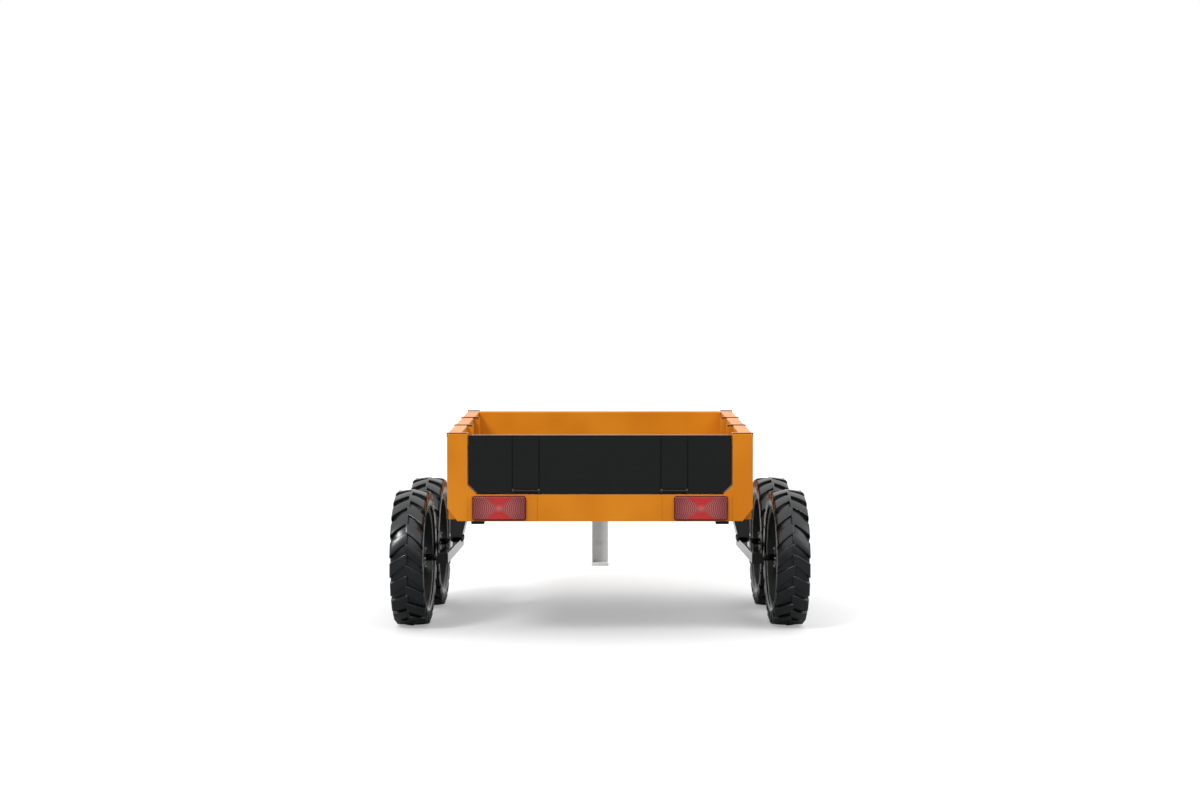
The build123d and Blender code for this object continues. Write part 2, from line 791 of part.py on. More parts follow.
with BuildPart() as floor_bolts:
    with BuildSketch(Plane.XY.offset(floor_z - floor_thickness - joist_wall - floor_bolt_tail)):
        with Locations(*floor_bolt_places):
            Circle(floor_bolt_radius)
    extrude(amount=floor_thickness + joist_wall + floor_bolt_tail)
    with BuildSketch(Plane.XY.offset(floor_z)):
        with Locations(*floor_bolt_places):
            Circle(floor_bolt_head)
    extrude(amount=floor_bolt_crown)
    fillet(
        floor_bolts.edges().filter_by(GeomType.CIRCLE).group_by(Axis.Z)[-1],
        bolt_crown_round * floor_bolt_crown,
    )
floor_bolts.part.label = "floor_bolts"
export_step(floor_bolts.part, "parts/floor_bolts.step")

# ------------------------------------------------------------------- tub: walls
panel_pitch = tub_length / panels_per_side
side_bolt_z = rail_top_z + joist_height / 2
for side_name, side in SIDES:
    with BuildPart() as panels:
        for index in range(panels_per_side):
            start = rear_y + index * panel_pitch + panel_gap / 2
            stop = rear_y + (index + 1) * panel_pitch - panel_gap / 2
            if index == 0:
                start = rear_y + post_depth + fit_gap
            if index == panels_per_side - 1:
                stop = tub_front_y
            middle = (start + stop) / 2
            length = stop - start
            with BuildSketch(Plane.XY.offset(tub_clearance)):
                with Locations((side * (tub_width - wall_thickness) / 2, middle)):
                    Rectangle(wall_thickness, length)
            extrude(amount=tub_height)
            # a stake on the inside, standing at the joint with the panel behind it
            if index > 0:
                with BuildSketch(Plane.XY.offset(floor_z + fit_gap)):
                    with Locations((side * (inner_x - stake_depth / 2), start + stake_width / 2)):
                        Rectangle(stake_depth, stake_width)
                extrude(amount=tub_clearance + tub_height - floor_z - fit_gap)
            # the field of the outer face is set in, inside a raised frame
            field_x = side * (tub_width / 2 - panel_field_depth)
            with BuildSketch(facing_right(field_x)):
                with Locations((middle, (panel_field_low + panel_field_high) / 2)):
                    RectangleRounded(
                        length - 2 * panel_frame,
                        panel_field_high - panel_field_low,
                        panel_field_corner,
                    )
            extrude(amount=side * (panel_field_depth + 1), mode=Mode.SUBTRACT)
            # hollow, open underneath
            cavity = wall_thickness - 2 * skin - panel_field_depth
            with BuildSketch(Plane.XY.offset(tub_clearance)):
                with Locations((side * (inner_x + skin + cavity / 2), middle)):
                    Rectangle(cavity, length - 2 * skin)
            extrude(amount=tub_height - 2 * skin, mode=Mode.SUBTRACT)
            with BuildSketch(facing_right(side * (inner_x - 1))):
                with Locations((joist_ys[index], side_bolt_z)):
                    Circle(side_bolt_radius + bolt_play)
            extrude(amount=side * (wall_thickness + 2), mode=Mode.SUBTRACT)
        fillet(panels.edges().group_by(Axis.Z)[-1], edge_radius)
    panels.part.label = f"side_panels_{side_name}"
    export_step(panels.part, f"parts/side_panels_{side_name}.step")

with BuildPart() as side_bolts:
    for side_name, side in SIDES:
        for y in joist_ys:
            with BuildSketch(facing_right(side * (inner_x - fit_gap))):
                with Locations((y, side_bolt_z)):
                    Circle(side_bolt_radius)
            extrude(amount=side * (wall_thickness + fit_gap))
            with BuildSketch(facing_right(side * tub_width / 2)):
                with Locations((y, side_bolt_z)):
                    Circle(side_bolt_head)
            extrude(amount=side * side_bolt_crown)
side_bolts.part.label = "side_panel_bolts"
export_step(side_bolts.part, "parts/side_panel_bolts.step")

with BuildPart() as front_wall:
    front_half = inner_x - fit_gap
    with BuildSketch(Plane.XY.offset(tub_clearance)):
        with Locations((0, tub_front_y - wall_thickness / 2)):
            Rectangle(2 * front_half, wall_thickness)
    extrude(amount=tub_height)
    fillet(front_wall.edges().group_by(Axis.Z)[-1], edge_radius)
    with BuildSketch(facing_back(tub_front_y - panel_field_depth)):
        with Locations((0, (panel_field_low + panel_field_high) / 2)):
            RectangleRounded(
                2 * (front_half - front_frame),
                panel_field_high - panel_field_low,
                panel_field_corner,
            )
    extrude(amount=-(panel_field_depth + 1), mode=Mode.SUBTRACT)
    cavity = wall_thickness - 2 * skin - panel_field_depth
    with BuildSketch(Plane.XY.offset(tub_clearance)):
        with Locations((0, tub_front_y - wall_thickness + skin + cavity / 2)):
            Rectangle(2 * (front_half - skin), cavity)
    extrude(amount=tub_height - 2 * skin, mode=Mode.SUBTRACT)
    # a notch that the drawbar passes through
    with BuildSketch(facing_back(tub_front_y - wall_thickness - 1)):
        with Locations((0, tub_clearance)):
            Rectangle(
                drawbar_size + 2 * drawbar_notch_gap,
                2 * (drawbar_top_z + drawbar_notch_gap - tub_clearance),
            )
    extrude(amount=-(wall_thickness + 2), mode=Mode.SUBTRACT)
front_wall.part.label = "front_wall"
export_step(front_wall.part, "parts/front_wall.step")

for side_name, side in SIDES:
    inner = side * post_inner_x
    outer = side * tub_width / 2
    with BuildPart() as post:
        with BuildSketch(facing_back(rear_y)):
            with BuildLine():
                Polyline(
                    (inner, tub_clearance),
                    (outer - side * post_chamfer_x, tub_clearance),
                    (outer, tub_clearance + post_chamfer_z),
                    (outer, tub_top_z - post_top_chamfer),
                    (outer - side * post_top_chamfer, tub_top_z),
                    (inner, tub_top_z),
                    close=True,
                )
            make_face()
        extrude(amount=-post_depth)
        fillet(post.edges().group_by(Axis.Y)[0], edge_radius / 2)
        # hollow, open underneath
        hollow_width = post_width - 2 * skin - post_chamfer_x
        with BuildSketch(Plane.XY.offset(tub_clearance - 1)):
            with Locations(
                (inner + side * (skin + hollow_width / 2), rear_y + post_depth / 2)
            ):
                Rectangle(hollow_width, post_depth - 2 * skin)
        extrude(amount=tub_height + 1 - skin, mode=Mode.SUBTRACT)
        with BuildSketch(facing_right(inner - side)):
            with Locations((gate_bolt_y, gate_bolt_z)):
                Circle(gate_bolt_radius + gate_bolt_hole_play)
        extrude(amount=side * (skin + 2), mode=Mode.SUBTRACT)
    post.part.label = f"corner_post_{side_name}"
    export_step(post.part, f"parts/corner_post_{side_name}.step")

# -------------------------------------------------------------------- tub: sill
sill_half = post_inner_x - sill_side_gap
sill_corner = gate_corner + gate_sill_gap / 2 - sill_corner_drop
reflector_z = (tub_clearance + sill_top_z) / 2
reflector_pad_height = sill_top_z - tub_clearance - 2 * reflector_pad_margin
with BuildPart() as sill:
    with BuildSketch(facing_back(rear_y)):
        with BuildLine():
            Polyline(
                (-sill_half, tub_clearance),
                (sill_half, tub_clearance),
                (sill_half, sill_top_z + sill_corner),
                (sill_half - sill_corner, sill_top_z),
                (-sill_half + sill_corner, sill_top_z),
                (-sill_half, sill_top_z + sill_corner),
                close=True,
            )
        make_face()
    extrude(amount=-sill_skin)
    for low in (tub_clearance, sill_top_z - sill_skin):
        with BuildSketch(facing_back(rear_y)):
            with Locations((0, low + sill_skin / 2)):
                Rectangle(2 * (sill_half - sill_corner), sill_skin)
        extrude(amount=-(sill_skin + sill_flange))
    # a raised pad under each reflector
    for side_name, side in SIDES:
        pad_x = side * (sill_half - reflector_pad_width / 2 - reflector_pad_margin)
        with BuildSketch(facing_back(rear_y)):
            with Locations((pad_x, reflector_z)):
                RectangleRounded(
                    reflector_pad_width, reflector_pad_height, reflector_pad_corner
                )
        extrude(amount=reflector_pad_thickness)
sill.part.label = "rear_sill"
export_step(sill.part, "parts/rear_sill.step")

# each pin is welded into two eyes that stand on the sill
with BuildPart() as gate_pins:
    eye_start = gate_knuckle_length / 2 + end_play
    for side_name, side in SIDES:
        for start in (-eye_start - gate_eye_thickness, eye_start):
            with BuildSketch(facing_right(side * gate_rib_x + start)):
                with Locations((gate_axis_y, gate_axis_z)):
                    Circle(gate_eye_radius)
                with Locations((gate_axis_y, (gate_axis_z + sill_top_z) / 2)):
                    Rectangle(gate_eye_stem, gate_axis_z - sill_top_z)
            extrude(amount=gate_eye_thickness)
        reach = eye_start + gate_eye_thickness
        with BuildSketch(facing_right(side * gate_rib_x - reach)):
            with Locations((gate_axis_y, gate_axis_z)):
                Circle(gate_pin_radius)
        extrude(amount=2 * reach)
gate_pins.part.label = "tailgate_hinge_pins"
export_step(gate_pins.part, "parts/tailgate_hinge_pins.step")

for side_name, side in SIDES:
    with BuildPart() as reflector:
        with BuildSketch(facing_back(rear_y - reflector_proud)):
            with Locations((side * reflector_x, reflector_z)):
                RectangleRounded(reflector_width, reflector_height, reflector_corner)
        extrude(amount=-reflector_thickness)
        fillet(reflector.edges().group_by(Axis.Y)[0], reflector_edge_round)
    reflector.part.label = f"reflector_{side_name}"
    export_step(reflector.part, f"parts/reflector_{side_name}.step")

# --------------------------------------------------------------- tipping hinge
lug_starts = []
for side in (-1, 1):
    rail_outer = side * (rail_x + rail_width / 2 + tip_lug_gap)
    rail_inner = side * (rail_x - rail_width / 2 - tip_lug_gap)
    lug_starts += [(rail_outer, side), (rail_inner, -side)]
lug_front_y = joist_ys[0] + joist_depth / 2
with BuildPart() as tip_lugs:
    for start, way in lug_starts:
        with BuildSketch(facing_right(start)):
            with BuildLine():
                Polyline(
                    (tip_y, tip_z - tip_lug_radius),
                    (lug_front_y - tip_lug_corner, rail_top_z - tip_lug_corner),
                    (lug_front_y, rail_top_z),
                    (joist_ys[0] - joist_depth / 2, rail_top_z),
                    (tip_y - tip_lug_radius, tip_z),
                    close=True,
                )
            make_face()
            with Locations((tip_y, tip_z)):
                Circle(tip_lug_radius)
                Circle(tip_pin_radius + running_clearance, mode=Mode.SUBTRACT)
        extrude(amount=way * tip_lug_thickness)
tip_lugs.part.label = "tipping_hinge_lugs"
export_step(tip_lugs.part, "parts/tipping_hinge_lugs.step")

with BuildPart() as tip_pins:
    for side_name, side in SIDES:
        reach = rail_width / 2 + tip_lug_gap + tip_lug_thickness + tip_pin_tail
        with BuildSketch(facing_right(side * (rail_x - reach))):
            with Locations((tip_y, tip_z)):
                Circle(tip_pin_radius)
        extrude(amount=side * 2 * reach)
        for x, way in ((rail_x + reach, side), (rail_x - reach, -side)):
            with BuildSketch(facing_right(side * x)):
                with Locations((tip_y, tip_z)):
                    Circle(tip_pin_radius + tip_pin_head)
            extrude(amount=way * tip_pin_head)
tip_pins.part.label = "tipping_hinge_pins"
export_step(tip_pins.part, "parts/tipping_hinge_pins.step")

# -------------------------------------------------------------------- tailgate
with BuildPart() as tailgate:
    with BuildSketch(facing_back(gate_rear_y)):
        with BuildLine():
            Polyline(
                (-gate_half_width + gate_corner, gate_bottom_z),
                (gate_half_width - gate_corner, gate_bottom_z),
                (gate_half_width, gate_bottom_z + gate_corner),
                (gate_half_width, gate_top_z),
                (-gate_half_width, gate_top_z),
                (-gate_half_width, gate_bottom_z + gate_corner),
                close=True,
            )
        make_face()
    extrude(amount=-gate_depth)
    with BuildSketch(facing_back(gate_rear_y + gate_skin)):
        with BuildLine():
            rim_x = gate_half_width - gate_skin
            low = gate_bottom_z + gate_skin
            high = gate_top_z - gate_border
            Polyline(
                (-rim_x + gate_corner, low),
                (rim_x - gate_corner, low),
                (rim_x, low + gate_corner),
                (rim_x, high),
                (-rim_x, high),
                (-rim_x, low + gate_corner),
                close=True,
            )
        make_face()
    extrude(amount=-(gate_depth - gate_skin + 1), mode=Mode.SUBTRACT)
    rib_low = gate_bottom_z + gate_rib_end_gap
    rib_high = gate_top_z - gate_border - gate_rib_top_gap
    for side_name, side in SIDES:
        with BuildSketch(facing_back(gate_rear_y)):
            with Locations((side * gate_rib_x, (rib_low + rib_high) / 2)):
                RectangleRounded(gate_rib_width, rib_high - rib_low, gate_rib_corner)
        extrude(amount=gate_rib_height, taper=gate_rib_taper)
    # room for the hinge's eyes, then the gate's own knuckles
    for side_name, side in SIDES:
        reach = gate_knuckle_length / 2 + gate_eye_thickness + 2 * end_play
        with BuildSketch(facing_right(side * gate_rib_x - reach)):
            with Locations((gate_axis_y, gate_axis_z)):
                Circle(gate_knuckle_radius + gate_knuckle_clearance)
            with Locations((gate_axis_y, gate_bottom_z)):
                Rectangle(
                    2 * (gate_knuckle_radius + gate_knuckle_clearance), 2 * gate_hinge_rise
                )
        extrude(amount=2 * reach, mode=Mode.SUBTRACT)
        with BuildSketch(facing_right(side * gate_rib_x - gate_knuckle_length / 2)):
            with Locations((gate_axis_y, gate_axis_z)):
                Circle(gate_knuckle_radius)
            with BuildLine():
                Polyline(
                    (gate_axis_y, gate_axis_z - gate_knuckle_radius),
                    (gate_axis_y + 2 * gate_knuckle_radius, gate_axis_z - gate_knuckle_radius),
                    (gate_axis_y + 2 * gate_knuckle_radius, gate_axis_z + gate_knuckle_block),
                    (gate_rear_y, gate_axis_z + gate_knuckle_block),
                    (gate_rear_y, gate_axis_z),
                    close=True,
                )
            make_face()
        extrude(amount=gate_knuckle_length)
        with BuildSketch(facing_right(side * gate_rib_x - reach)):
            with Locations((gate_axis_y, gate_axis_z)):
                Circle(gate_pin_radius + running_clearance)
        extrude(amount=2 * reach, mode=Mode.SUBTRACT)
tailgate.part.label = "tailgate"
export_step(tailgate.part, "parts/tailgate.step")

guide_y = gate_rear_y + gate_skin
bolt_tip_x = gate_half_width - gate_bolt_tip_gap
guide_outer_x = bolt_tip_x - guide_from_tip - guide_length / 2
guide_xs = (guide_outer_x, guide_outer_x - guide_pitch)
with BuildPart() as guides:
    for side_name, side in SIDES:
        for x in guide_xs:
            with BuildSketch(facing_right(side * x - guide_length / 2)):
                low = gate_bolt_z - guide_size / 2
                high = gate_bolt_z + guide_size / 2
                deep = gate_bolt_y + guide_size / 2
                with BuildLine():
                    Polyline(
                        (guide_y, low),
                        (deep, low),
                        (deep, high),
                        (guide_y, high),
                        close=True,
                    )
                make_face()
                with Locations((gate_bolt_y, gate_bolt_z)):
                    Circle(gate_bolt_radius + running_clearance, mode=Mode.SUBTRACT)
            extrude(amount=guide_length)
guides.part.label = "gate_bolt_guides"
export_step(guides.part, "parts/gate_bolt_guides.step")

for side_name, side in SIDES:
    with BuildPart() as gate_bolt:
        with BuildSketch(facing_right(side * bolt_tip_x)):
            with Locations((gate_bolt_y, gate_bolt_z)):
                Circle(gate_bolt_radius)
        extrude(amount=-side * gate_bolt_length)
        chamfer(gate_bolt.edges().group_by(Axis.X)[-1 if side > 0 else 0], gate_bolt_chamfer)
        with BuildSketch(facing_back(gate_bolt_y)):
            with Locations((side * (guide_xs[1] + guide_length / 2 + knob_gap + knob_radius), gate_bolt_z)):
                Circle(knob_radius)
        extrude(amount=-(gate_bolt_radius + knob_length))
    gate_bolt.part.label = f"gate_bolt_{side_name}"
    export_step(gate_bolt.part, f"parts/gate_bolt_{side_name}.step")

# ------------------------------------------------------------------ support leg
leg_z = hitch_z
lean = radians(leg_lean)
leg_frame = Plane(
    origin=(0, leg_y, leg_z), x_dir=(1, 0, 0), z_dir=(0, -sin(lean), cos(lean))
)
leg_inner = drawbar_size / 2 + leg_side_gap
leg_outer = leg_inner + leg_plate
web_y = drawbar_size / 2 + leg_web_gap
leg_reach = (leg_z - foot_height) / cos(lean)


def leg_side(x):
    """A plane along the leg's side: sketch x is the leg's front, sketch y its length upward."""
    origin = leg_frame.from_local_coords(Vector(x, 0, 0))
    return Plane(origin=origin, x_dir=leg_frame.y_dir, z_dir=leg_frame.x_dir)


with BuildPart() as leg:
    for x in (-leg_outer, leg_inner):
        with BuildSketch(leg_side(x)):
            Circle(leg_top_radius)
            with BuildLine():
                Polyline(
                    (-leg_top_radius, 0),
                    (-leg_top_radius, -leg_reach - foot_height),
                    (web_y + leg_plate, -leg_reach - foot_height),
                    (web_y + leg_plate, -leg_web_start),
                    (leg_top_radius, 0),
                    close=True,
                )
            make_face()
            Circle(leg_bolt_radius + running_clearance, mode=Mode.SUBTRACT)
        extrude(amount=leg_plate)
    with BuildSketch(leg_side(-leg_outer)):
        with BuildLine():
            Polyline(
                (web_y, -leg_web_start),
                (web_y + leg_plate, -leg_web_start),
                (web_y + leg_plate, -leg_reach - foot_height),
                (web_y, -leg_reach - foot_height),
                close=True,
            )
        make_face()
    extrude(amount=2 * leg_outer)
    # cut off level, on top of the foot
    with BuildSketch(Plane.XY.offset(foot_height)):
        with Locations((0, leg_y)):
            Rectangle(4 * leg_outer, 2 * leg_reach)
    extrude(amount=-leg_reach, mode=Mode.SUBTRACT)
leg.part.label = "support_leg"
export_step(leg.part, "parts/support_leg.step")

foot_y = leg_y + leg_reach * sin(lean) + (web_y + leg_plate - leg_top_radius) / 2
with BuildPart() as foot:
    with BuildSketch(Plane.XY):
        with Locations((0, foot_y)):
            RectangleRounded(2 * leg_outer, foot_length, foot_corner)
    extrude(amount=foot_height)
foot.part.label = "support_foot"
export_step(foot.part, "parts/support_foot.step")

with BuildPart() as leg_bolt:
    with BuildSketch(facing_right(-leg_outer - leg_bolt_play)):
        with Locations((leg_y, leg_z)):
            Circle(leg_bolt_radius)
    extrude(amount=2 * (leg_outer + leg_bolt_play))
    for way in (-1, 1):
        with BuildSketch(facing_right(way * (leg_outer + leg_bolt_play))):
            with Locations((leg_y, leg_z)):
                RegularPolygon(leg_bolt_across_flats / 2, 6, major_radius=False)
        extrude(amount=way * leg_bolt_head)
leg_bolt.part.label = "support_leg_bolt"
export_step(leg_bolt.part, "parts/support_leg_bolt.step")

# ---------------------------------------------------------------- tipping latch
latch_y = tub_front_y + latch_axis_ahead
latch_z = drawbar_top_z + latch_axis_rise
ear_gap = latch_plate / 2 + end_play
with BuildPart() as latch_bracket:
    for x in (-ear_gap - latch_ear, ear_gap):
        with BuildSketch(facing_right(x)):
            with Locations((latch_y, latch_z)):
                Circle(latch_arm_radius)
            with BuildLine():
                Polyline(
                    (latch_y - latch_arm_radius, latch_z),
                    (latch_y - latch_foot_spread * latch_arm_radius, drawbar_top_z),
                    (latch_y + latch_foot_spread * latch_arm_radius, drawbar_top_z),
                    (latch_y + latch_arm_radius, latch_z),
                    close=True,
                )
            make_face()
            with Locations((latch_y, latch_z)):
                Circle(latch_pin_radius + seat_clearance, mode=Mode.SUBTRACT)
        extrude(amount=latch_ear)
latch_bracket.part.label = "tipping_latch_bracket"
export_step(latch_bracket.part, "parts/tipping_latch_bracket.step")

with BuildPart() as latch_pin:
    reach = ear_gap + latch_ear
    with BuildSketch(facing_right(-reach)):
        with Locations((latch_y, latch_z)):
            Circle(latch_pin_radius)
    extrude(amount=2 * reach)
    for x, way in ((-reach, -1), (reach, 1)):
        with BuildSketch(facing_right(x)):
            with Locations((latch_y, latch_z)):
                Circle(latch_pin_radius + latch_pin_head)
        extrude(amount=way * latch_pin_head)
latch_pin.part.label = "tipping_latch_pin"
export_step(latch_pin.part, "parts/tipping_latch_pin.step")

# The lever is drawn locked, its hook over the keeper, and then swung open about its pin.
keeper_top_z = latch_z - keeper_drop
latch_turn = Location(Plane(origin=(0, latch_y, latch_z)))
latch_frame = Plane(latch_turn * Location((0, 0, 0), (-latch_swing, 0, 0)))


def latch_side(x):
    """A plane along the swung lever: sketch x is its forward direction, sketch y is up it."""
    origin = latch_frame.from_local_coords(Vector(x, 0, 0))
    return Plane(origin=origin, x_dir=latch_frame.y_dir, z_dir=latch_frame.x_dir)


with BuildPart() as latch_lever:
    with BuildSketch(latch_side(-latch_plate / 2)):
        Circle(latch_arm_radius)
        with BuildLine():
            Polyline(
                (0, latch_arm_radius),
                (-latch_reach, latch_arm_radius),
                (-latch_reach, -keeper_drop + hook_gap),
                (-latch_heel, -keeper_drop + hook_gap),
                close=True,
            )
        make_face()
        with BuildLine():
            Polyline(
                (-latch_arm_radius + hook_gap, 0),
                (latch_arm_radius, 0),
                (latch_arm_radius + latch_handle_lean, latch_handle),
                (latch_arm_radius - latch_handle_taper, latch_handle),
                close=True,
            )
        make_face()
        Circle(latch_pin_radius + running_clearance, mode=Mode.SUBTRACT)
    extrude(amount=latch_plate)
latch_lever.part.label = "tipping_latch_lever"
export_step(latch_lever.part, "parts/tipping_latch_lever.step")

with BuildPart() as keeper:
    with BuildSketch(facing_back(tub_front_y)):
        with Locations((0, keeper_top_z - keeper_height / 2)):
            Rectangle(keeper_width, keeper_height)
    extrude(amount=-keeper_depth)
    with BuildSketch(facing_back(tub_front_y)):
        with Locations((0, keeper_top_z - keeper_height)):
            Rectangle(3 * keeper_width, 3 * keeper_height - keeper_plate)
    extrude(amount=-keeper_plate)
keeper.part.label = "tipping_latch_keeper"
export_step(keeper.part, "parts/tipping_latch_keeper.step")
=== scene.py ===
# %% [markdown]
# # A tipping trailer for a pedal go-kart
#
# The object is a small four-wheel trailer that is towed behind a pedal go-kart. An orange moulded
# tub with a black drop tailgate stands on a ladder of black steel tube. On each side a square beam
# rocks on one pin and carries two wheels, so that all four stay on uneven ground.
#
# The engineering shapes are already made, and come in as a frame of steel tubes, panels, pins and
# wheels that we never move. This lesson gives them their finish, and models by hand what is worth
# seeing up close: lugged tyres, hub fittings, hub caps, reflectors, tube plugs, and dark strips of
# painted shade on the wall tops.

# %% Load the frame
import json
from math import cos, pi, radians, sin, tau

import bmesh
import bpy
from mathutils import Matrix, Vector


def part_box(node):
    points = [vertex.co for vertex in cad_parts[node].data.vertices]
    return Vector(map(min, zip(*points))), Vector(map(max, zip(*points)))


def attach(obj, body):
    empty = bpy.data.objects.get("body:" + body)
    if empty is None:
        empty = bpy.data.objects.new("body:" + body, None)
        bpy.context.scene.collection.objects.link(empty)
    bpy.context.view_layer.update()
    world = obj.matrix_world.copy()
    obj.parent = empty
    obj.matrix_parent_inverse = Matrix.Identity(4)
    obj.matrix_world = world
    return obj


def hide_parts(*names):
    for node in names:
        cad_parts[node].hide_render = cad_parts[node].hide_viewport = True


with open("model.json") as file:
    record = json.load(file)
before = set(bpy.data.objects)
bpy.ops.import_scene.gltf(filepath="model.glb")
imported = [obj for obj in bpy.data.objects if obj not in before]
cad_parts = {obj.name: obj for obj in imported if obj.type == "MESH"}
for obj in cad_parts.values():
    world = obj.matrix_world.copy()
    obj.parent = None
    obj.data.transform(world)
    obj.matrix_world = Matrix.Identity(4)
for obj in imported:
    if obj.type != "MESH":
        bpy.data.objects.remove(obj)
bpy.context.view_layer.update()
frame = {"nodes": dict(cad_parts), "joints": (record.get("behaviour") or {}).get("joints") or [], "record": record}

# %% [markdown]
# ## Helpers for modelling by hand
#
# An operator acts on all that is selected, so each step starts from a clean selection. Faces and
# edges are then picked by a test on their place or direction, which is what a hand and an eye do
# in the window. A modifier is added and applied at once, and a finished piece gets its name, its
# material and the body it rides on in one call.

# %% Selection and edit mode
MM = 0.001
HAIR = 0.01 * MM


def leave():
    """Back to object mode, with nothing selected."""
    if bpy.context.object is not None and bpy.context.object.mode != "OBJECT":
        bpy.ops.object.mode_set(mode="OBJECT")
    bpy.ops.object.select_all(action="DESELECT")


def take(*pieces):
    """Select these pieces alone, the first one active."""
    leave()
    for piece in pieces:
        piece.select_set(True)
    bpy.context.view_layer.objects.active = pieces[0]
    return pieces[0]


def edit(piece):
    """Into edit mode on one piece, with nothing in it selected."""
    take(piece)
    bpy.ops.object.mode_set(mode="EDIT")
    bpy.ops.mesh.select_all(action="DESELECT")
    return piece


def pick(kind, test):
    """In edit mode, select the verts, edges or faces that pass a test, and those alone."""
    modes = {"verts": "VERT", "edges": "EDGE", "faces": "FACE"}
    bpy.ops.mesh.select_mode(type=modes[kind])
    bpy.ops.mesh.select_all(action="DESELECT")
    mesh = bmesh.from_edit_mesh(bpy.context.object.data)
    chosen = [element for element in getattr(mesh, kind) if test(element)]
    for element in chosen:
        element.select_set(True)
    bmesh.update_edit_mesh(bpy.context.object.data)
    return len(chosen)


def middle(element):
    """The middle of an edge or a face."""
    points = [vertex.co for vertex in element.verts]
    return sum(points, Vector()) / len(points)


def reach(edge, axis):
    """How far an edge runs along an axis: 0 is X, 1 is Y and 2 is Z."""
    return abs(edge.verts[0].co[axis] - edge.verts[1].co[axis])


def modify(piece, kind, **settings):
    """Add a modifier with its settings, and apply it."""
    take(piece)
    modifier = piece.modifiers.new(kind.title(), kind)
    for name, value in settings.items():
        setattr(modifier, name, value)
    bpy.ops.object.modifier_apply(modifier=modifier.name)
    return piece


def rounded(piece, width, segments=2, **limits):
    """Bevel the sharp edges of a piece."""
    return modify(
        piece, "BEVEL", width=width, segments=segments, limit_method="ANGLE", **limits
    )


def block(low, high):
    """A cube stretched between two corners: the start of most straight pieces."""
    leave()
    bpy.ops.mesh.primitive_cube_add(size=1, location=(low + high) / 2)
    made = bpy.context.object
    made.scale = high - low
    bpy.ops.object.transform_apply(location=True, rotation=True, scale=True)
    return made


def outward(piece):
    """Merge doubles and turn every face to the outside."""
    edit(piece)
    bpy.ops.mesh.select_all(action="SELECT")
    bpy.ops.mesh.remove_doubles(threshold=1e-5)
    bpy.ops.mesh.normals_make_consistent(inside=False)
    leave()
    return piece


def copied(piece, matrix, name):
    """A copy with its own mesh, put in place by a matrix."""
    twin = piece.copy()
    twin.data = piece.data.copy()
    twin.data.transform(matrix)
    twin.name = name
    bpy.context.scene.collection.objects.link(twin)
    return twin


def joined(pieces, name):
    """Several pieces as one mesh."""
    take(*pieces)
    bpy.ops.object.join()
    bpy.context.object.name = name
    return bpy.context.object


def triangles(piece):
    """How many triangles a piece has."""
    return sum(len(polygon.vertices) - 2 for polygon in piece.data.polygons)


def bring_in(piece, name, finish, body, nodes=(), smooth=35):
    """The last step for each piece: place in the mesh, shading, material, body."""
    take(piece)
    bpy.ops.object.transform_apply(location=True, rotation=True, scale=True)
    bpy.ops.object.shade_smooth_by_angle(angle=radians(smooth))
    piece.name = name
    piece.data.name = name
    piece.data.materials.clear()
    piece.data.materials.append(finish)
    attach(piece, body)
    if nodes:
        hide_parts(*nodes)
    leave()
    return piece


leave()
print("helpers ready, selected:", len(bpy.context.selected_objects))

# %% [markdown]
# ## Shader maths as Python
#
# A material is a graph of nodes. Written as calls that link one node to the next, its meaning is
# lost, so one small class wraps a node's output and gives it Python's operators. An expression
# such as `1 - mask` then adds its Math nodes by itself, and one method adds any other node.

# %% The Socket class and the Finish class
OBJECT_COORDINATES = 3


class Socket:
    """One output of a node. Arithmetic on it adds Math nodes."""

    def __init__(self, finish, output):
        self.finish = finish
        self.output = output

    def math(self, operation, *values):
        return self.finish.node("Math", {"operation": operation}, *values)

    def __add__(self, other):
        return self.math("ADD", self, other)

    def __radd__(self, other):
        return self.math("ADD", other, self)

    def __sub__(self, other):
        return self.math("SUBTRACT", self, other)

    def __rsub__(self, other):
        return self.math("SUBTRACT", other, self)

    def __mul__(self, other):
        return self.math("MULTIPLY", self, other)

    def __rmul__(self, other):
        return self.math("MULTIPLY", other, self)

    def __pow__(self, other):
        return self.math("POWER", self, other)

    def __abs__(self):
        return self.math("ABSOLUTE", self)

    def between(self, low, high):
        """0 at low, 1 at high, smooth and clamped."""
        return self.finish.node(
            "MapRange", {"interpolation_type": "SMOOTHSTEP"}, Value=self,
            From_Min=low, From_Max=high,
        )


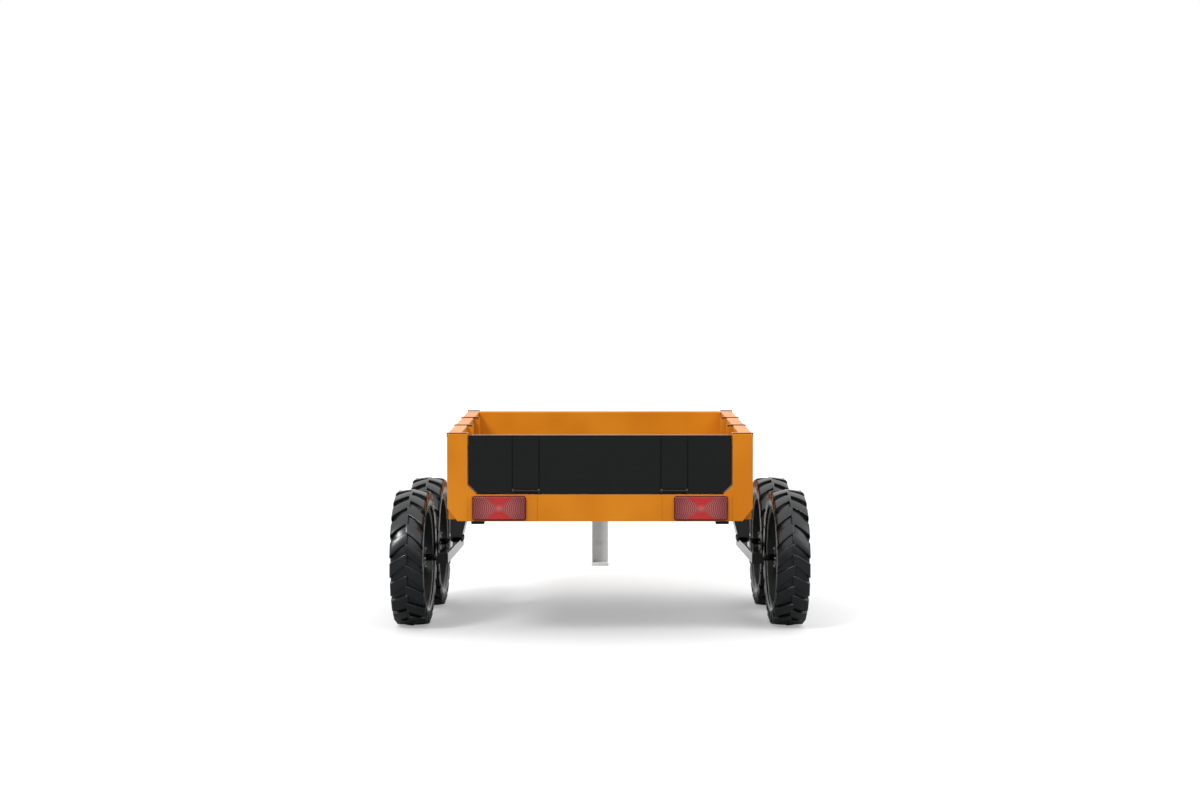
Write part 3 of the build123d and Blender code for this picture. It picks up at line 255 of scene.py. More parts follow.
class Finish:
    """A material with its Principled shader, built node by node."""

    def __init__(self, name, **constants):
        self.material = bpy.data.materials.new(name)
        self.material.use_nodes = True
        self.tree = self.material.node_tree
        self.shader = self.tree.nodes["Principled BSDF"]
        self.set(**constants)

    def node(self, kind, settings=None, *values, output=0, **named):
        """Add a node: its settings first, then its sockets' values or links."""
        made = self.tree.nodes.new("ShaderNode" + kind)
        for key, value in (settings or {}).items():
            setattr(made, key, value)
        for socket, value in zip(made.inputs, values):
            self.feed(socket, value)
        for key, value in named.items():
            name = key.replace("_", " ")
            socket = next(s for s in made.inputs if s.name == name and s.enabled)
            self.feed(socket, value)
        outputs = [s for s in made.outputs if s.enabled]
        return Socket(self, outputs[output])

    def feed(self, socket, value):
        if isinstance(value, Socket):
            self.tree.links.new(value.output, socket)
        else:
            socket.default_value = value

    def set(self, **inputs):
        """Feed the shader: names with underscores for spaces."""
        for key, value in inputs.items():
            name = key.replace("_", " ")
            if isinstance(value, tuple) and len(value) == 3:
                value = (*value, 1.0)
            self.feed(self.shader.inputs[name], value)

    def place(self, scale=(1, 1, 1)):
        """Object coordinates, stretched by a scale."""
        found = self.node("TexCoord", output=OBJECT_COORDINATES)
        return self.node("Mapping", {"vector_type": "POINT"}, Vector=found, Scale=scale)

    def split(self, vector):
        """A vector's three numbers."""
        first = self.node("SeparateXYZ", None, vector)
        node = first.output.node
        return [Socket(self, node.outputs[index]) for index in range(3)]

    def noise(self, vector, scale, detail=3.0, roughness=0.5):
        return self.node(
            "TexNoise", None, Vector=vector, Scale=scale, Detail=detail, Roughness=roughness
        )

    def mix(self, factor, first, second):
        """Two colours mixed by a factor."""
        made = self.tree.nodes.new("ShaderNodeMix")
        made.data_type = "RGBA"
        self.feed(made.inputs[0], factor)
        for index, colour in ((6, first), (7, second)):
            if not isinstance(colour, Socket):
                colour = (*colour, 1.0)
            self.feed(made.inputs[index], colour)
        return Socket(self, made.outputs[2])

    def bump(self, height, strength, distance=MM):
        """Height in metres times distance becomes the shader's normal."""
        self.set(
            Normal=self.node(
                "Bump", None, Strength=strength, Distance=distance, Height=height
            )
        )


def tint(red, green, blue):
    """A colour as a paint chart gives it, 0 to 255, in the linear light that a shader uses."""
    def linear(value):
        share = value / 255
        return share / 12.92 if share <= 0.04045 else ((share + 0.055) / 1.055) ** 2.4
    return tuple(linear(value) for value in (red, green, blue))


print("shader helpers ready")

# %% [markdown]
# ## Orange moulded plastic
#
# The tub's walls, posts and sill are coloured right through and moulded in one skin. The finish
# is a satin gloss over a very fine grain. Real mouldings are never one flat colour: the pigment
# drifts a little over a panel, and handling dulls the gloss in patches, so noise moves both.

# %% Orange plastic
ORANGE = tint(221, 136, 27)
ORANGE_DEEP = tint(209, 122, 19)

orange = Finish("orange_panel_plastic", Specular_IOR_Level=0.25)
spot = orange.place()
drift = orange.noise(spot, scale=5.0, detail=2.0).between(0.35, 0.65)
handling = orange.noise(spot, scale=22.0, detail=5.0, roughness=0.6).between(0.45, 0.75)
grain = orange.noise(spot, scale=900.0, detail=2.0)
orange.set(
    Base_Color=orange.mix(drift, ORANGE, ORANGE_DEEP),
    Roughness=0.30 + handling * 0.12 + grain * 0.06,
)
orange.bump(grain, strength=0.10, distance=0.2 * MM)
print("orange plastic", len(orange.tree.nodes), "nodes")

# %% [markdown]
# ## Black plastic of the tailgate
#
# The tailgate is the same kind of moulding in black, with a coarser leather-like grain that hides
# scratches. Cells from a Voronoi texture make the grain, and faint grey scuffs run along it where
# loads have slid over the edge. Beside the two raised ribs the colour carries painted shade: a mask
# on the distance from a rib's edge darkens four upright lines, where the ribs' sides fall in shade.

# %% Black plastic
COAL = tint(20, 22, 22)
COAL_SCUFFED = tint(31, 33, 33)
COAL_RIB_SHADE = tint(4, 4, 4)
GRAIN_PER_METRE = 420.0
RIB_X = 167.0 * MM
RIB_HALF = 30.0 * MM

coal = Finish("black_panel_plastic", Specular_IOR_Level=0.25)
spot = coal.place()
cells = coal.node("TexVoronoi", {"feature": "F1"}, Vector=spot, Scale=GRAIN_PER_METRE)
streaks = coal.place(scale=(3.0, 3.0, 26.0))
scuffs = coal.noise(streaks, scale=7.0, detail=6.0, roughness=0.65).between(0.58, 0.82)
x, _, _ = coal.split(spot)
from_rib_edge = abs(abs(abs(x) - RIB_X) - RIB_HALF)
# painted shade: four dark upright lines along both edges of the two ribs
painted_rib_shade = 1 - from_rib_edge.between(0.6 * MM, 2.4 * MM)
coal.set(
    Base_Color=coal.mix(painted_rib_shade * 0.85, coal.mix(scuffs, COAL, COAL_SCUFFED), COAL_RIB_SHADE),
    Roughness=0.42 + scuffs * 0.14 + cells * 0.08,
)
coal.bump(cells, strength=0.18, distance=0.3 * MM)
print("black plastic", len(coal.tree.nodes), "nodes")

# %% [markdown]
# ## Black enamel on the steel tubes
#
# The chassis and the rocker beams are steel tube under thick black gloss enamel. At a grazing
# angle such a coat mirrors its surroundings, so it needs a low roughness and only a trace of
# orange peel. Road dust settles in patches and turns the gloss satin there.

# %% Black enamel
ENAMEL = tint(12, 13, 14)
ROAD_DUST = tint(64, 60, 54)

enamel = Finish("black_steel_enamel", Specular_IOR_Level=0.5, Coat_Roughness=0.06)
spot = enamel.place()
peel = enamel.noise(spot, scale=160.0, detail=2.0)
dust = enamel.noise(spot, scale=14.0, detail=6.0, roughness=0.6).between(0.60, 0.85)
enamel.set(
    Base_Color=enamel.mix(dust * 0.2, ENAMEL, ROAD_DUST),
    Roughness=0.13 + dust * 0.25,
    Coat_Weight=0.5 - dust * 0.4,
)
enamel.bump(peel, strength=0.05, distance=0.3 * MM)
print("black enamel", len(enamel.tree.nodes), "nodes")

# %% [markdown]
# ## Anti-slip floor sheet
#
# The tub's floor is a dark coated sheet with a pressed lozenge pattern that keeps a load from
# sliding. Two families of slanted waves cross, and where both are high a small lozenge stands
# up. Paint wears off the tops of the lozenges first, so the same height drives a worn colour.

# %% Floor sheet
FLOOR_PAINT = tint(58, 56, 54)
FLOOR_WORN = tint(104, 102, 99)
LOZENGES_PER_METRE = 34.0
LOZENGE_SLANT = 0.55

floor_sheet = Finish("floor_anti_slip")
spot = floor_sheet.place()
x, y, _ = floor_sheet.split(spot)
turn = tau * LOZENGES_PER_METRE
wave_a = floor_sheet.node("Math", {"operation": "SINE"}, (x * LOZENGE_SLANT + y) * turn)
wave_b = floor_sheet.node("Math", {"operation": "SINE"}, (x * LOZENGE_SLANT - y) * turn)
lozenge = (wave_a * wave_b).between(0.25, 0.75)
wear = floor_sheet.noise(spot, scale=9.0, detail=5.0, roughness=0.6).between(0.45, 0.75)
floor_sheet.set(
    Base_Color=floor_sheet.mix(lozenge * wear, FLOOR_PAINT, FLOOR_WORN),
    Roughness=0.48 - lozenge * wear * 0.15,
    Metallic=lozenge * wear * 0.7,
)
floor_sheet.bump(lozenge, strength=0.7, distance=1.2 * MM)
print("floor sheet", len(floor_sheet.tree.nodes), "nodes")

# %% [markdown]
# ## Bright zinc plating
#
# Bolts, pins, nuts and the latch are plated. Zinc is a metal, so its colour lives in the
# reflection, and its faint bluish and straw clouds come from the passivation bath.

# %% Zinc
ZINC_COOL = tint(196, 202, 208)
ZINC_STRAW = tint(206, 200, 184)

zinc = Finish("bright_zinc", Metallic=1.0)
spot = zinc.place()
cloud = zinc.noise(spot, scale=60.0).between(0.35, 0.7)
brushed = zinc.noise(zinc.place(scale=(1.0, 14.0, 14.0)), scale=260.0, detail=2.0)
zinc.set(Base_Color=zinc.mix(cloud, ZINC_COOL, ZINC_STRAW), Roughness=0.22 + brushed * 0.16)
zinc.bump(brushed, strength=0.06, distance=0.2 * MM)
print("zinc", len(zinc.tree.nodes), "nodes")

# %% [markdown]
# ## Tyre rubber
#
# New rubber is a dark blue-grey with a soft shine on its lugs. The moulding leaves a fine
# texture, and dust greys it in clouds. The base colour is never pure black: rubber that is
# too dark loses all its shape.

# %% Rubber
RUBBER = tint(23, 27, 30)
RUBBER_DUSTY = tint(44, 48, 50)

rubber = Finish("tyre_rubber", Specular_IOR_Level=0.55)
spot = rubber.place()
dusty = rubber.noise(spot, scale=26.0, detail=6.0, roughness=0.6).between(0.50, 0.80)
pores = rubber.noise(spot, scale=700.0, detail=2.0)
rubber.set(
    Base_Color=rubber.mix(dusty * 0.6, RUBBER, RUBBER_DUSTY),
    Roughness=0.19 + dusty * 0.20 + pores * 0.06,
)
rubber.bump(pores, strength=0.20, distance=0.25 * MM)
print("rubber", len(rubber.tree.nodes), "nodes")

# %% [markdown]
# ## Rims, nylon and the foot's rubber
#
# The rims are moulded in slate-grey plastic with a near-white lip, partly the lip's own silver and
# partly a painted highlight; the hub bolts share that finish. Bushes, tube ends and the dark strips
# of painted shade on the wall tops are plain nylon, and the pale lacquered support leg stands on a
# block of soft grey rubber. The pale line on the tailgate's top is a painted highlight. All are
# variations of one idea, so a function builds them from their colours, gloss and grain.

# %% Moulded finishes
def moulded(name, colour, worn, roughness, grain_scale, grain_depth):
    """A moulded plastic or rubber with drifting colour and a fine grain."""
    made = Finish(name, Specular_IOR_Level=0.45)
    place = made.place()
    patches = made.noise(place, scale=30.0, detail=5.0, roughness=0.6).between(0.45, 0.8)
    fine = made.noise(place, scale=grain_scale, detail=2.0)
    made.set(
        Base_Color=made.mix(patches, colour, worn),
        Roughness=roughness + patches * 0.12 + fine * 0.06,
    )
    made.bump(fine, strength=0.15, distance=grain_depth)
    return made


slate = moulded(
    "rim_slate_plastic", tint(46, 50, 51), tint(60, 63, 63),
    roughness=0.36, grain_scale=500.0, grain_depth=0.2 * MM,
)
# partly silver, partly a painted highlight: near-white and not metallic, so it stays bright where it faces away
# from the lamps
lip_silver_and_highlight = moulded(
    "rim_lip_silver", tint(232, 234, 234), tint(204, 206, 206),
    roughness=0.30, grain_scale=500.0, grain_depth=0.1 * MM,
)
nylon = moulded(
    "nylon_dark", tint(30, 30, 31), tint(44, 44, 45),
    roughness=0.40, grain_scale=600.0, grain_depth=0.2 * MM,
)
foot_grey = moulded(
    "foot_rubber_soft", tint(206, 207, 206), tint(184, 184, 182),
    roughness=0.62, grain_scale=380.0, grain_depth=0.4 * MM,
)
pale_steel = moulded(
    "leg_pale_lacquer", tint(218, 220, 221), tint(196, 198, 199),
    roughness=0.34, grain_scale=420.0, grain_depth=0.2 * MM,
)
# painted highlight: the pale finish of the line along the tailgate's top edge
painted_gate_highlight = moulded(
    "gate_edge_pale", tint(176, 170, 166), tint(150, 146, 142),
    roughness=0.34, grain_scale=500.0, grain_depth=0.1 * MM,
)
print("moulded finishes ready")

# %% [markdown]
# ## Red reflector lens
#
# A reflector is clear red acrylic, moulded with concentric prisms that turn headlights back. The
# prisms catch light differently above and below the centre than beside it, and that light is
# painted into the colour: a bow-tie of brighter red, and pale rings that are painted highlights on
# the prisms. The lens is also paler in its centre and darker towards its ends. Distances are
# measured from the lens's own centre, and as the two reflectors are mirror images, the absolute
# value of X serves both.

# %% Reflector lens
lens_low, lens_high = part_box("reflector_right")
lens_centre = (lens_low + lens_high) / 2
RING_PITCH = 4.2 * MM
WEDGE_SLOPE = 0.75
LENS_SIDE = tint(134, 42, 46)
LENS_LIT_WEDGE = tint(190, 16, 18)
LENS_RING = tint(202, 116, 114)
LENS_HEART = tint(214, 112, 108)
LENS_END = tint(92, 18, 28)

lens = Finish("reflector_red_lens", Specular_IOR_Level=0.5, Coat_Weight=0.6, Coat_Roughness=0.05)
x, _, z = lens.split(lens.place())
across = abs(abs(x) - lens_centre.x)
up = abs(z - lens_centre.z)
away = (across * across + up * up) ** 0.5
rings = lens.node("Math", {"operation": "SINE"}, away * (tau / RING_PITCH))
# painted light: brighter red in a bow-tie above and below the centre, duller red beside it
painted_light_wedge = (up - across * WEDGE_SLOPE).between(-3.0 * MM, 5.0 * MM)
heart = 1 - away.between(1.0 * MM, 11.0 * MM)
ends = away.between(20.0 * MM, 62.0 * MM)
# painted highlights: pale rings on the prisms, fainter inside the lit bow-tie
ring_light = rings.between(-0.4, 0.8) * (1 - painted_light_wedge * 0.75) * 0.8
red = lens.mix(painted_light_wedge, LENS_SIDE, LENS_LIT_WEDGE)
red = lens.mix(ring_light, red, LENS_RING)
red = lens.mix(heart * 0.5, red, LENS_HEART)
red = lens.mix(ends * 0.6, red, LENS_END)
lens.set(Base_Color=red, Roughness=0.16 + rings.between(-1.0, 1.0) * 0.10)
lens.bump(rings, strength=0.35, distance=0.5 * MM)
lens_frame = moulded(
    "reflector_frame", tint(92, 18, 18), tint(74, 14, 14),
    roughness=0.28, grain_scale=500.0, grain_depth=0.1 * MM,
)
print("lens centre", lens_centre)

# %% [markdown]
# ## Give the frame its finishes
#
# Each CAD piece names a material slot in the record. A table from slot to finish paints them
# all at once, and nothing about their shape changes. A few pieces look different from the rest
# of their slot: the axles and hinge pins are enamelled over, and the leg is lacquered.

# %% Paint the frame
FINISHES = {
    "orange_panel": orange, "black_panel": coal, "black_steel": enamel,
    "floor_steel": floor_sheet, "zinc": zinc, "tyre": rubber, "rim": slate,
    "nylon": nylon, "foot_rubber": foot_grey, "reflector": lens,
}
OWN_FINISHES = {
    "stub_axles_left": enamel, "stub_axles_right": enamel, "tailgate_hinge_pins": enamel,
    "support_leg": pale_steel,
}
slot_of = {part["node"]: part["material_slot"] for part in frame["record"]["subparts"]}
for name, node in frame["nodes"].items():
    finish = OWN_FINISHES.get(name, FINISHES[slot_of[name]])
    node.data.materials.clear()
    node.data.materials.append(finish.material)
print("painted", len(slot_of), "nodes with", len(set(slot_of.values())), "finishes")

# %% [markdown]
# ## Tyre carcass
#
# A tyre is a body of revolution, so one ring of edges is enough to start it. The ring is extruded
# outwards along the axle and scaled in steps, which draws the section: crown, shoulder, a fine
# moulded ridge on the sidewall, the bead, and the inner face. A mirror makes the other half.

# %% Carcass by extruded rings
tyre_low, tyre_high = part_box("tyre_rear_left")
TYRE_RADIUS = (tyre_high.z - tyre_low.z) / 2
LUG_HEIGHT = 5.6 * MM
AROUND = 96
# places along the axle and radii, in millimetres, from the crown round to the inside
CARCASS_STEPS = (
    (16, 153.0), (27, 151.2), (32.5, 148.4), (36.0, 146.2), (36.9, 145.0), (37.0, 143.6),
    (36.7, 142.6), (38.3, 138.0), (38.9, 133.0), (38.2, 127.5), (36.0, 123.0), (33.4, 120.6),
    (29.0, 120.5), (29.0, 110.5), (21.0, 110.5), (21.0, 114.0), (27.0, 122.0), (27.5, 135.0),
    (20.0, 143.0),
)


def rings_along_axle(name, start_radius, steps, around):
    """A shell drawn by extruding a ring along X and scaling it, as (place, radius) pairs."""
    leave()
    bpy.ops.mesh.primitive_circle_add(
        vertices=around, radius=start_radius, fill_type="NOTHING", rotation=(0, pi / 2, 0)
    )
    shell = bpy.context.object
    shell.name = name
    bpy.ops.object.transform_apply(location=True, rotation=True, scale=True)
    edit(shell)
    bpy.ops.mesh.select_mode(type="EDGE")
    bpy.ops.mesh.select_all(action="SELECT")
    here, radius = 0.0, start_radius
    for place, ring in steps:
        bpy.ops.mesh.extrude_edges_move(
            TRANSFORM_OT_translate={"value": (place * MM - here, 0, 0)}
        )
        share = ring * MM / radius
        bpy.ops.transform.resize(value=(1, share, share), center_override=(place * MM, 0, 0))
        here, radius = place * MM, ring * MM
    leave()
    return shell


carcass = rings_along_axle(
    "carcass", TYRE_RADIUS - LUG_HEIGHT, CARCASS_STEPS + ((0.0, 146.0),), AROUND
)
modify(carcass, "MIRROR", use_axis=(True, False, False), use_mirror_merge=True)
outward(carcass)
print("carcass", triangles(carcass), "triangles, size", carcass.dimensions)

# %% [markdown]
# ## One bar of the tread
#
# The tread is a field tyre's: heavy bars that lean from the shoulder up to the middle, left and
# right in turn. One bar is modelled on top of the wheel. A cube is cut across its length, and each
# cross-section is moved so that the bar sweeps and follows the crown. Its end is extruded down
# the shoulder, and its top edges are bevelled.

# %% The bar
LUGS_PER_SIDE = 20
BAR_INNER_X = -3.0 * MM
BAR_OUTER_X = 36.5 * MM
BAR_CUTS = 7
BAR_SWEEP = 26.0 * MM
BAR_CROWN_DROP = 3.8 * MM
BAR_INNER_WIDTH = 25.0 * MM
BAR_OUTER_WIDTH = 33.0 * MM
BAR_ROOT = 149.0 * MM
BAR_TOP = TYRE_RADIUS - 0.1 * MM
BAR_ROUND = 2.0 * MM
# how fast the sweep and the drop grow towards the shoulder
SWEEP_BEND = 1.25
DROP_BEND = 2.4
# two moves that turn the end down over the shoulder
SHOULDER_MOVES = ((2.3 * MM, -1.5 * MM, -5 * MM), (-0.4 * MM, -1.5 * MM, -5 * MM))
SHARP = radians(40)

bar = block(
    Vector((BAR_INNER_X, -BAR_INNER_WIDTH / 2, BAR_ROOT)),
    Vector((BAR_OUTER_X, BAR_INNER_WIDTH / 2, BAR_TOP)),
)
edit(bar)
pick("edges", lambda e: reach(e, 0) > BAR_OUTER_X / 2)
bpy.ops.mesh.subdivide(number_cuts=BAR_CUTS)
for cut in range(BAR_CUTS + 2):
    share = cut / (BAR_CUTS + 1)
    place = BAR_INNER_X + share * (BAR_OUTER_X - BAR_INNER_X)
    sweep = BAR_SWEEP * (0.5 - share ** SWEEP_BEND)
    drop = BAR_CROWN_DROP * share ** DROP_BEND
    wide = 1 + share * (BAR_OUTER_WIDTH / BAR_INNER_WIDTH - 1)
    pick("verts", lambda v: abs(v.co.x - place) < HAIR)
    bpy.ops.transform.resize(value=(1, wide, 1), center_override=(place, 0, BAR_TOP))
    bpy.ops.transform.translate(value=(0, sweep, -drop))
pick("faces", lambda f: f.normal.x > 0.9 and middle(f).x > BAR_OUTER_X - HAIR)
for move in SHOULDER_MOVES:
    bpy.ops.mesh.extrude_region_move(TRANSFORM_OT_translate={"value": move})
softened = pick(
    "edges", lambda e: middle(e).z > BAR_ROOT + BAR_ROUND and e.calc_face_angle(0) > SHARP
)
bpy.ops.mesh.bevel(offset=BAR_ROUND, segments=3, affect="EDGES")
outward(bar)
print("edges softened", softened)
print("one bar", triangles(bar), "triangles, top at", max(v.co.z for v in bar.data.vertices))

# %% [markdown]
# ## Forty bars on one tyre
#
# Copies of the bar go round in even turns. Those on the other half of the tread are mirrored and
# set half a step on, so that the two rows mesh in the middle. All are joined with the carcass.

# %% Forty bars round one tyre
bars = []
for index in range(LUGS_PER_SIDE):
    for side_of_tread, half_step in ((1, 0.0), (-1, 0.5)):
        turn_by = Matrix.Rotation(tau * (index + half_step) / LUGS_PER_SIDE, 4, "X")
        flip = Matrix.Scale(side_of_tread, 4, (1, 0, 0))
        bars.append(copied(bar, turn_by @ flip, "bar"))
tyre_model = joined([carcass] + bars, "tyre_model")
outward(tyre_model)
bpy.data.objects.remove(bar)
print("tyre", triangles(tyre_model), "triangles", tyre_model.dimensions)

# %% [markdown]
# ## Four tyres in place
#
# A wheel's place comes from its CAD tyre's box, and its lean from the joint's axle: the beams toe
# in by a little. The model's X points outwards on both sides, so the left tyres are mirrored
# front to back, which keeps the bars of all four pointing the same way on the ground.

# %% Wheel places
WHEELS = [(end, side) for side in ("left", "right") for end in ("rear", "front")]


def wheel_place(end, side):
    """The matrix from a wheel's own frame, X out along its axle and Z up, to its place."""
    low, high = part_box(f"tyre_{end}_{side}")
    joint = next(j for j in frame["joints"] if j["name"] == f"wheel_{end}_{side}_spin")
    out = Vector(joint["axis"]) * (1 if side == "right" else -1)
    up_axis = Vector((0, 0, 1))
    turned = Matrix((out, up_axis.cross(out), up_axis)).transposed().to_4x4()
    return Matrix.Translation((low + high) / 2) @ turned


def on_every_wheel(model, name, finish):
    """A copy of a model on each of the four wheels. The model itself is removed."""
    for end, side in WHEELS:
        twin = copied(model, wheel_place(end, side), name)
        bring_in(twin, f"{name}_{end}_{side}", finish.material, f"wheel_{end}_{side}")
    bpy.data.objects.remove(model)


for end, side in WHEELS:
    hand = Matrix.Scale(-1 if side == "left" else 1, 4, (0, 1, 0))
    tyre = copied(tyre_model, wheel_place(end, side) @ hand, "tyre")
    outward(tyre)
    bring_in(
        tyre, f"lugged_tyre_{end}_{side}", rubber.material, f"wheel_{end}_{side}",
        [f"tyre_{end}_{side}"],
    )
bpy.data.objects.remove(tyre_model)
print("tyres in place")

# %% [markdown]
# ## Bright rim lips
#
# The edge of each rim is a rounded lip that the tyre's bead sits against. It is coloured near white,
# partly its own silver and partly a painted highlight along the rim's edge. It is a thin torus on
# each side of the wheel.

# %% Rim lips
RIM_LIP_RADIUS = 118.6 * MM
RIM_LIP_THICK = 1.3 * MM
RIM_LIP_X = 33.0 * MM

leave()
lips = []
for sign in (-1, 1):
    bpy.ops.mesh.primitive_torus_add(
        major_radius=RIM_LIP_RADIUS, minor_radius=RIM_LIP_THICK, major_segments=96,
        minor_segments=10, location=(sign * RIM_LIP_X, 0, 0), rotation=(0, pi / 2, 0),
    )
    bpy.ops.object.transform_apply(location=True, rotation=True, scale=True)
    lips.append(bpy.context.object)
# near-white lips: partly their own silver, partly a painted highlight
on_every_wheel(joined(lips, "lips"), "rim_lips", lip_silver_and_highlight)
print("lips", RIM_LIP_RADIUS)

# %% [markdown]
# ## Hub flanges and their bolts
#
# A dark flange closes each bearing on both faces of the hub, and four plated bolts hold it. The
# flange starts as a cylinder. Both end faces are inset down to the bore and bridged, which makes
# the hole, and its rim is bevelled. A bolt is a short six-sided cylinder whose top is inset and
# raised into a low crown. The bolts stay a piece of their own, as their finish differs: they take
# the near-white lip finish, partly their plating and partly a painted glint.

# %% Hub flanges and bolts
FLANGE_RADIUS = 25.0 * MM
FLANGE_THICK = 1.2 * MM
FLANGE_GAP = 0.05 * MM
FLANGE_ROUND = 0.4 * MM
HUB_FACE_X = 26.0 * MM
BORE_RADIUS = 11.0 * MM
HUB_BOLTS = 4
BOLT_CIRCLE = 20.8 * MM
BOLT_RADIUS = 2.7 * MM
BOLT_TALL = 3.4 * MM
BOLT_CHAMFER = 0.7 * MM
BOLT_CROWN = 0.5 * MM


def disc(radius, depth, x, around):
    """A cylinder along X whose inner face stands at x."""
    leave()
    bpy.ops.mesh.primitive_cylinder_add(
        vertices=around, radius=radius, depth=depth, location=(x + depth / 2, 0, 0),
        rotation=(0, pi / 2, 0),
    )
    bpy.ops.object.transform_apply(location=True, rotation=True, scale=True)
    return bpy.context.object


def both_faces(piece, name):
    """A piece on the hub's outer face, and its twin on the inner face."""
    return joined([piece, copied(piece, Matrix.Rotation(pi, 4, "Z"), name)], name)


flange = disc(FLANGE_RADIUS, FLANGE_THICK, HUB_FACE_X + FLANGE_GAP, 48)
edit(flange)
for facing in (1, -1):
    pick("faces", lambda f: f.normal.x * facing > 0.9 and len(f.verts) > 8)
    bpy.ops.mesh.inset(thickness=FLANGE_RADIUS - BORE_RADIUS)
pick("faces", lambda f: abs(f.normal.x) > 0.9 and len(f.verts) > 8)
bpy.ops.mesh.bridge_edge_loops()
pick("edges", lambda e: middle(e).yz.length > FLANGE_RADIUS * 0.98 and e.calc_face_angle(0) > 1)
bpy.ops.mesh.bevel(offset=FLANGE_ROUND, segments=2, affect="EDGES")
outward(flange)

bolts = []
for index in range(HUB_BOLTS):
    bolt = disc(BOLT_RADIUS, BOLT_TALL, HUB_FACE_X + FLANGE_THICK, 6)
    edit(bolt)
    pick("faces", lambda f: f.normal.x > 0.9)
    bpy.ops.mesh.inset(thickness=BOLT_CHAMFER)
    bpy.ops.transform.translate(value=(BOLT_CROWN, 0, 0))
    leave()
    spoke = tau * index / HUB_BOLTS
    onto_circle = Matrix.Translation((0, BOLT_CIRCLE * sin(spoke), BOLT_CIRCLE * cos(spoke)))
    bolt.data.transform(onto_circle)
    bolts.append(bolt)
on_every_wheel(both_faces(flange, "flanges"), "hub_flanges", slate)
# the bolts take the near-white lip finish: partly their plating, partly a painted glint
on_every_wheel(both_faces(joined(bolts, "bolts"), "bolts"), "hub_bolts", lip_silver_and_highlight)
print("hub flanges and", 2 * HUB_BOLTS, "bolts on each wheel")

# %% [markdown]
# ## Hub caps
#
# On the outside of each wheel a shallow black cap snaps over the axle nut. A cylinder's end face
# is inset and raised step by step into a low dome, and the open back is left to clear the nut.

# %% Hub caps
CAP_RADIUS = 17.4 * MM
CAP_WALL = 1.2 * MM
CAP_BASE_X = HUB_FACE_X + FLANGE_THICK + 0.1 * MM
CAP_SIDE = 8.2 * MM
CAP_ROUND = 0.4 * MM
# how far each inset goes in, and how far the face then rises
CAP_STEPS = ((2.0 * MM, 1.6 * MM), (3.0 * MM, 0.7 * MM), (4.5 * MM, 0.3 * MM))

cap = disc(CAP_RADIUS, CAP_SIDE, CAP_BASE_X, 48)
edit(cap)
pick("faces", lambda f: f.normal.x > 0.9)
for inwards, rise in CAP_STEPS:
    bpy.ops.mesh.inset(thickness=inwards)
    bpy.ops.transform.translate(value=(rise, 0, 0))
pick("faces", lambda f: f.normal.x < -0.9)
bpy.ops.mesh.delete(type="FACE")
leave()
modify(cap, "SOLIDIFY", thickness=CAP_WALL, offset=-1)
rounded(cap, CAP_ROUND, angle_limit=radians(50))
outward(cap)
on_every_wheel(cap, "hub_cap", nylon)
print("hub caps", CAP_RADIUS, "deep to", CAP_BASE_X + CAP_SIDE + sum(r for _, r in CAP_STEPS))

# %% [markdown]
# ## Reflectors
#
# Each reflector is two mouldings: a thin dark red frame that is screwed to the tub, and a clear
# lens that stands a little proud of it. Both start as a cube whose edges along Y are bevelled
# into round corners. The lens's face is inset, for a flat border, and then rounded all about.

# %% Reflectors
REFLECTOR_CORNER = 5.0 * MM
FRAME_DEPTH = 3.0 * MM
FRAME_EDGE = 2.2 * MM
FRAME_ROUND = 0.8 * MM
LENS_ROUND = 1.4 * MM
LENS_BORDER = 1.0 * MM
LENS_SUNK = 0.2 * MM


def plate(low, high, corner):
    """A block between two corners, its edges along Y rounded."""
    made = block(low, high)
    edit(made)
    pick("edges", lambda e: reach(e, 1) > (high.y - low.y) / 2)
    bpy.ops.mesh.bevel(offset=corner, segments=6, affect="EDGES")
    leave()
    return made


for side in ("left", "right"):
    low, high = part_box(f"reflector_{side}")
    base = plate(Vector((low.x, high.y - FRAME_DEPTH, low.z)), high, REFLECTOR_CORNER)
    rounded(base, FRAME_ROUND, segments=3)
    bring_in(base, f"reflector_frame_{side}", lens_frame.material, "tub")
    edge = Vector((FRAME_EDGE, 0, FRAME_EDGE))
    back = Vector((high.x, high.y - FRAME_DEPTH + LENS_SUNK, high.z))
    glass = plate(low + edge, back - edge, REFLECTOR_CORNER - FRAME_EDGE)
    edit(glass)
    pick("faces", lambda f: f.normal.y < -0.9)
    bpy.ops.mesh.inset(thickness=LENS_BORDER)
    leave()
    rounded(glass, LENS_ROUND, segments=4)
    bring_in(
        glass, f"reflector_lens_{side}", lens.material, "tub", [f"reflector_{side}"]
    )
print("reflectors", triangles(glass), "triangles in a lens")

# %% [markdown]
# ## Plugs in the ends of the rails
#
# Open tube ends are closed with nylon plugs, or water gets in and edges cut. A real plug has a
# tongue that grips inside the tube, which nobody sees, so only its head is made: a plate the size
# of the tube's section, with softened edges and a shallow dish.

# %% Rail plugs
PLUG_THICK = 2.5 * MM
PLUG_CORNER = 2.0 * MM
PLUG_BORDER = 4.0 * MM
PLUG_DISH = 0.8 * MM
PLUG_ROUND = 0.5 * MM
for side in ("left", "right"):
    low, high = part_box(f"chassis_rail_{side}")
    for name, y, facing in (("rear", low.y, -1), ("front", high.y, 1)):
        near, far = sorted((y, y + facing * PLUG_THICK))
        plug = plate(
            Vector((low.x, near, low.z)), Vector((high.x, far, high.z)), PLUG_CORNER
        )
        edit(plug)
        pick("faces", lambda f: f.normal.y * facing > 0.9)
        bpy.ops.mesh.inset(thickness=PLUG_BORDER)
        bpy.ops.transform.translate(value=(0, -facing * PLUG_DISH, 0))
        leave()
        rounded(plug, PLUG_ROUND)
        bring_in(plug, f"rail_plug_{name}_{side}", nylon.material, "chassis")
print("rail plugs", PLUG_THICK)

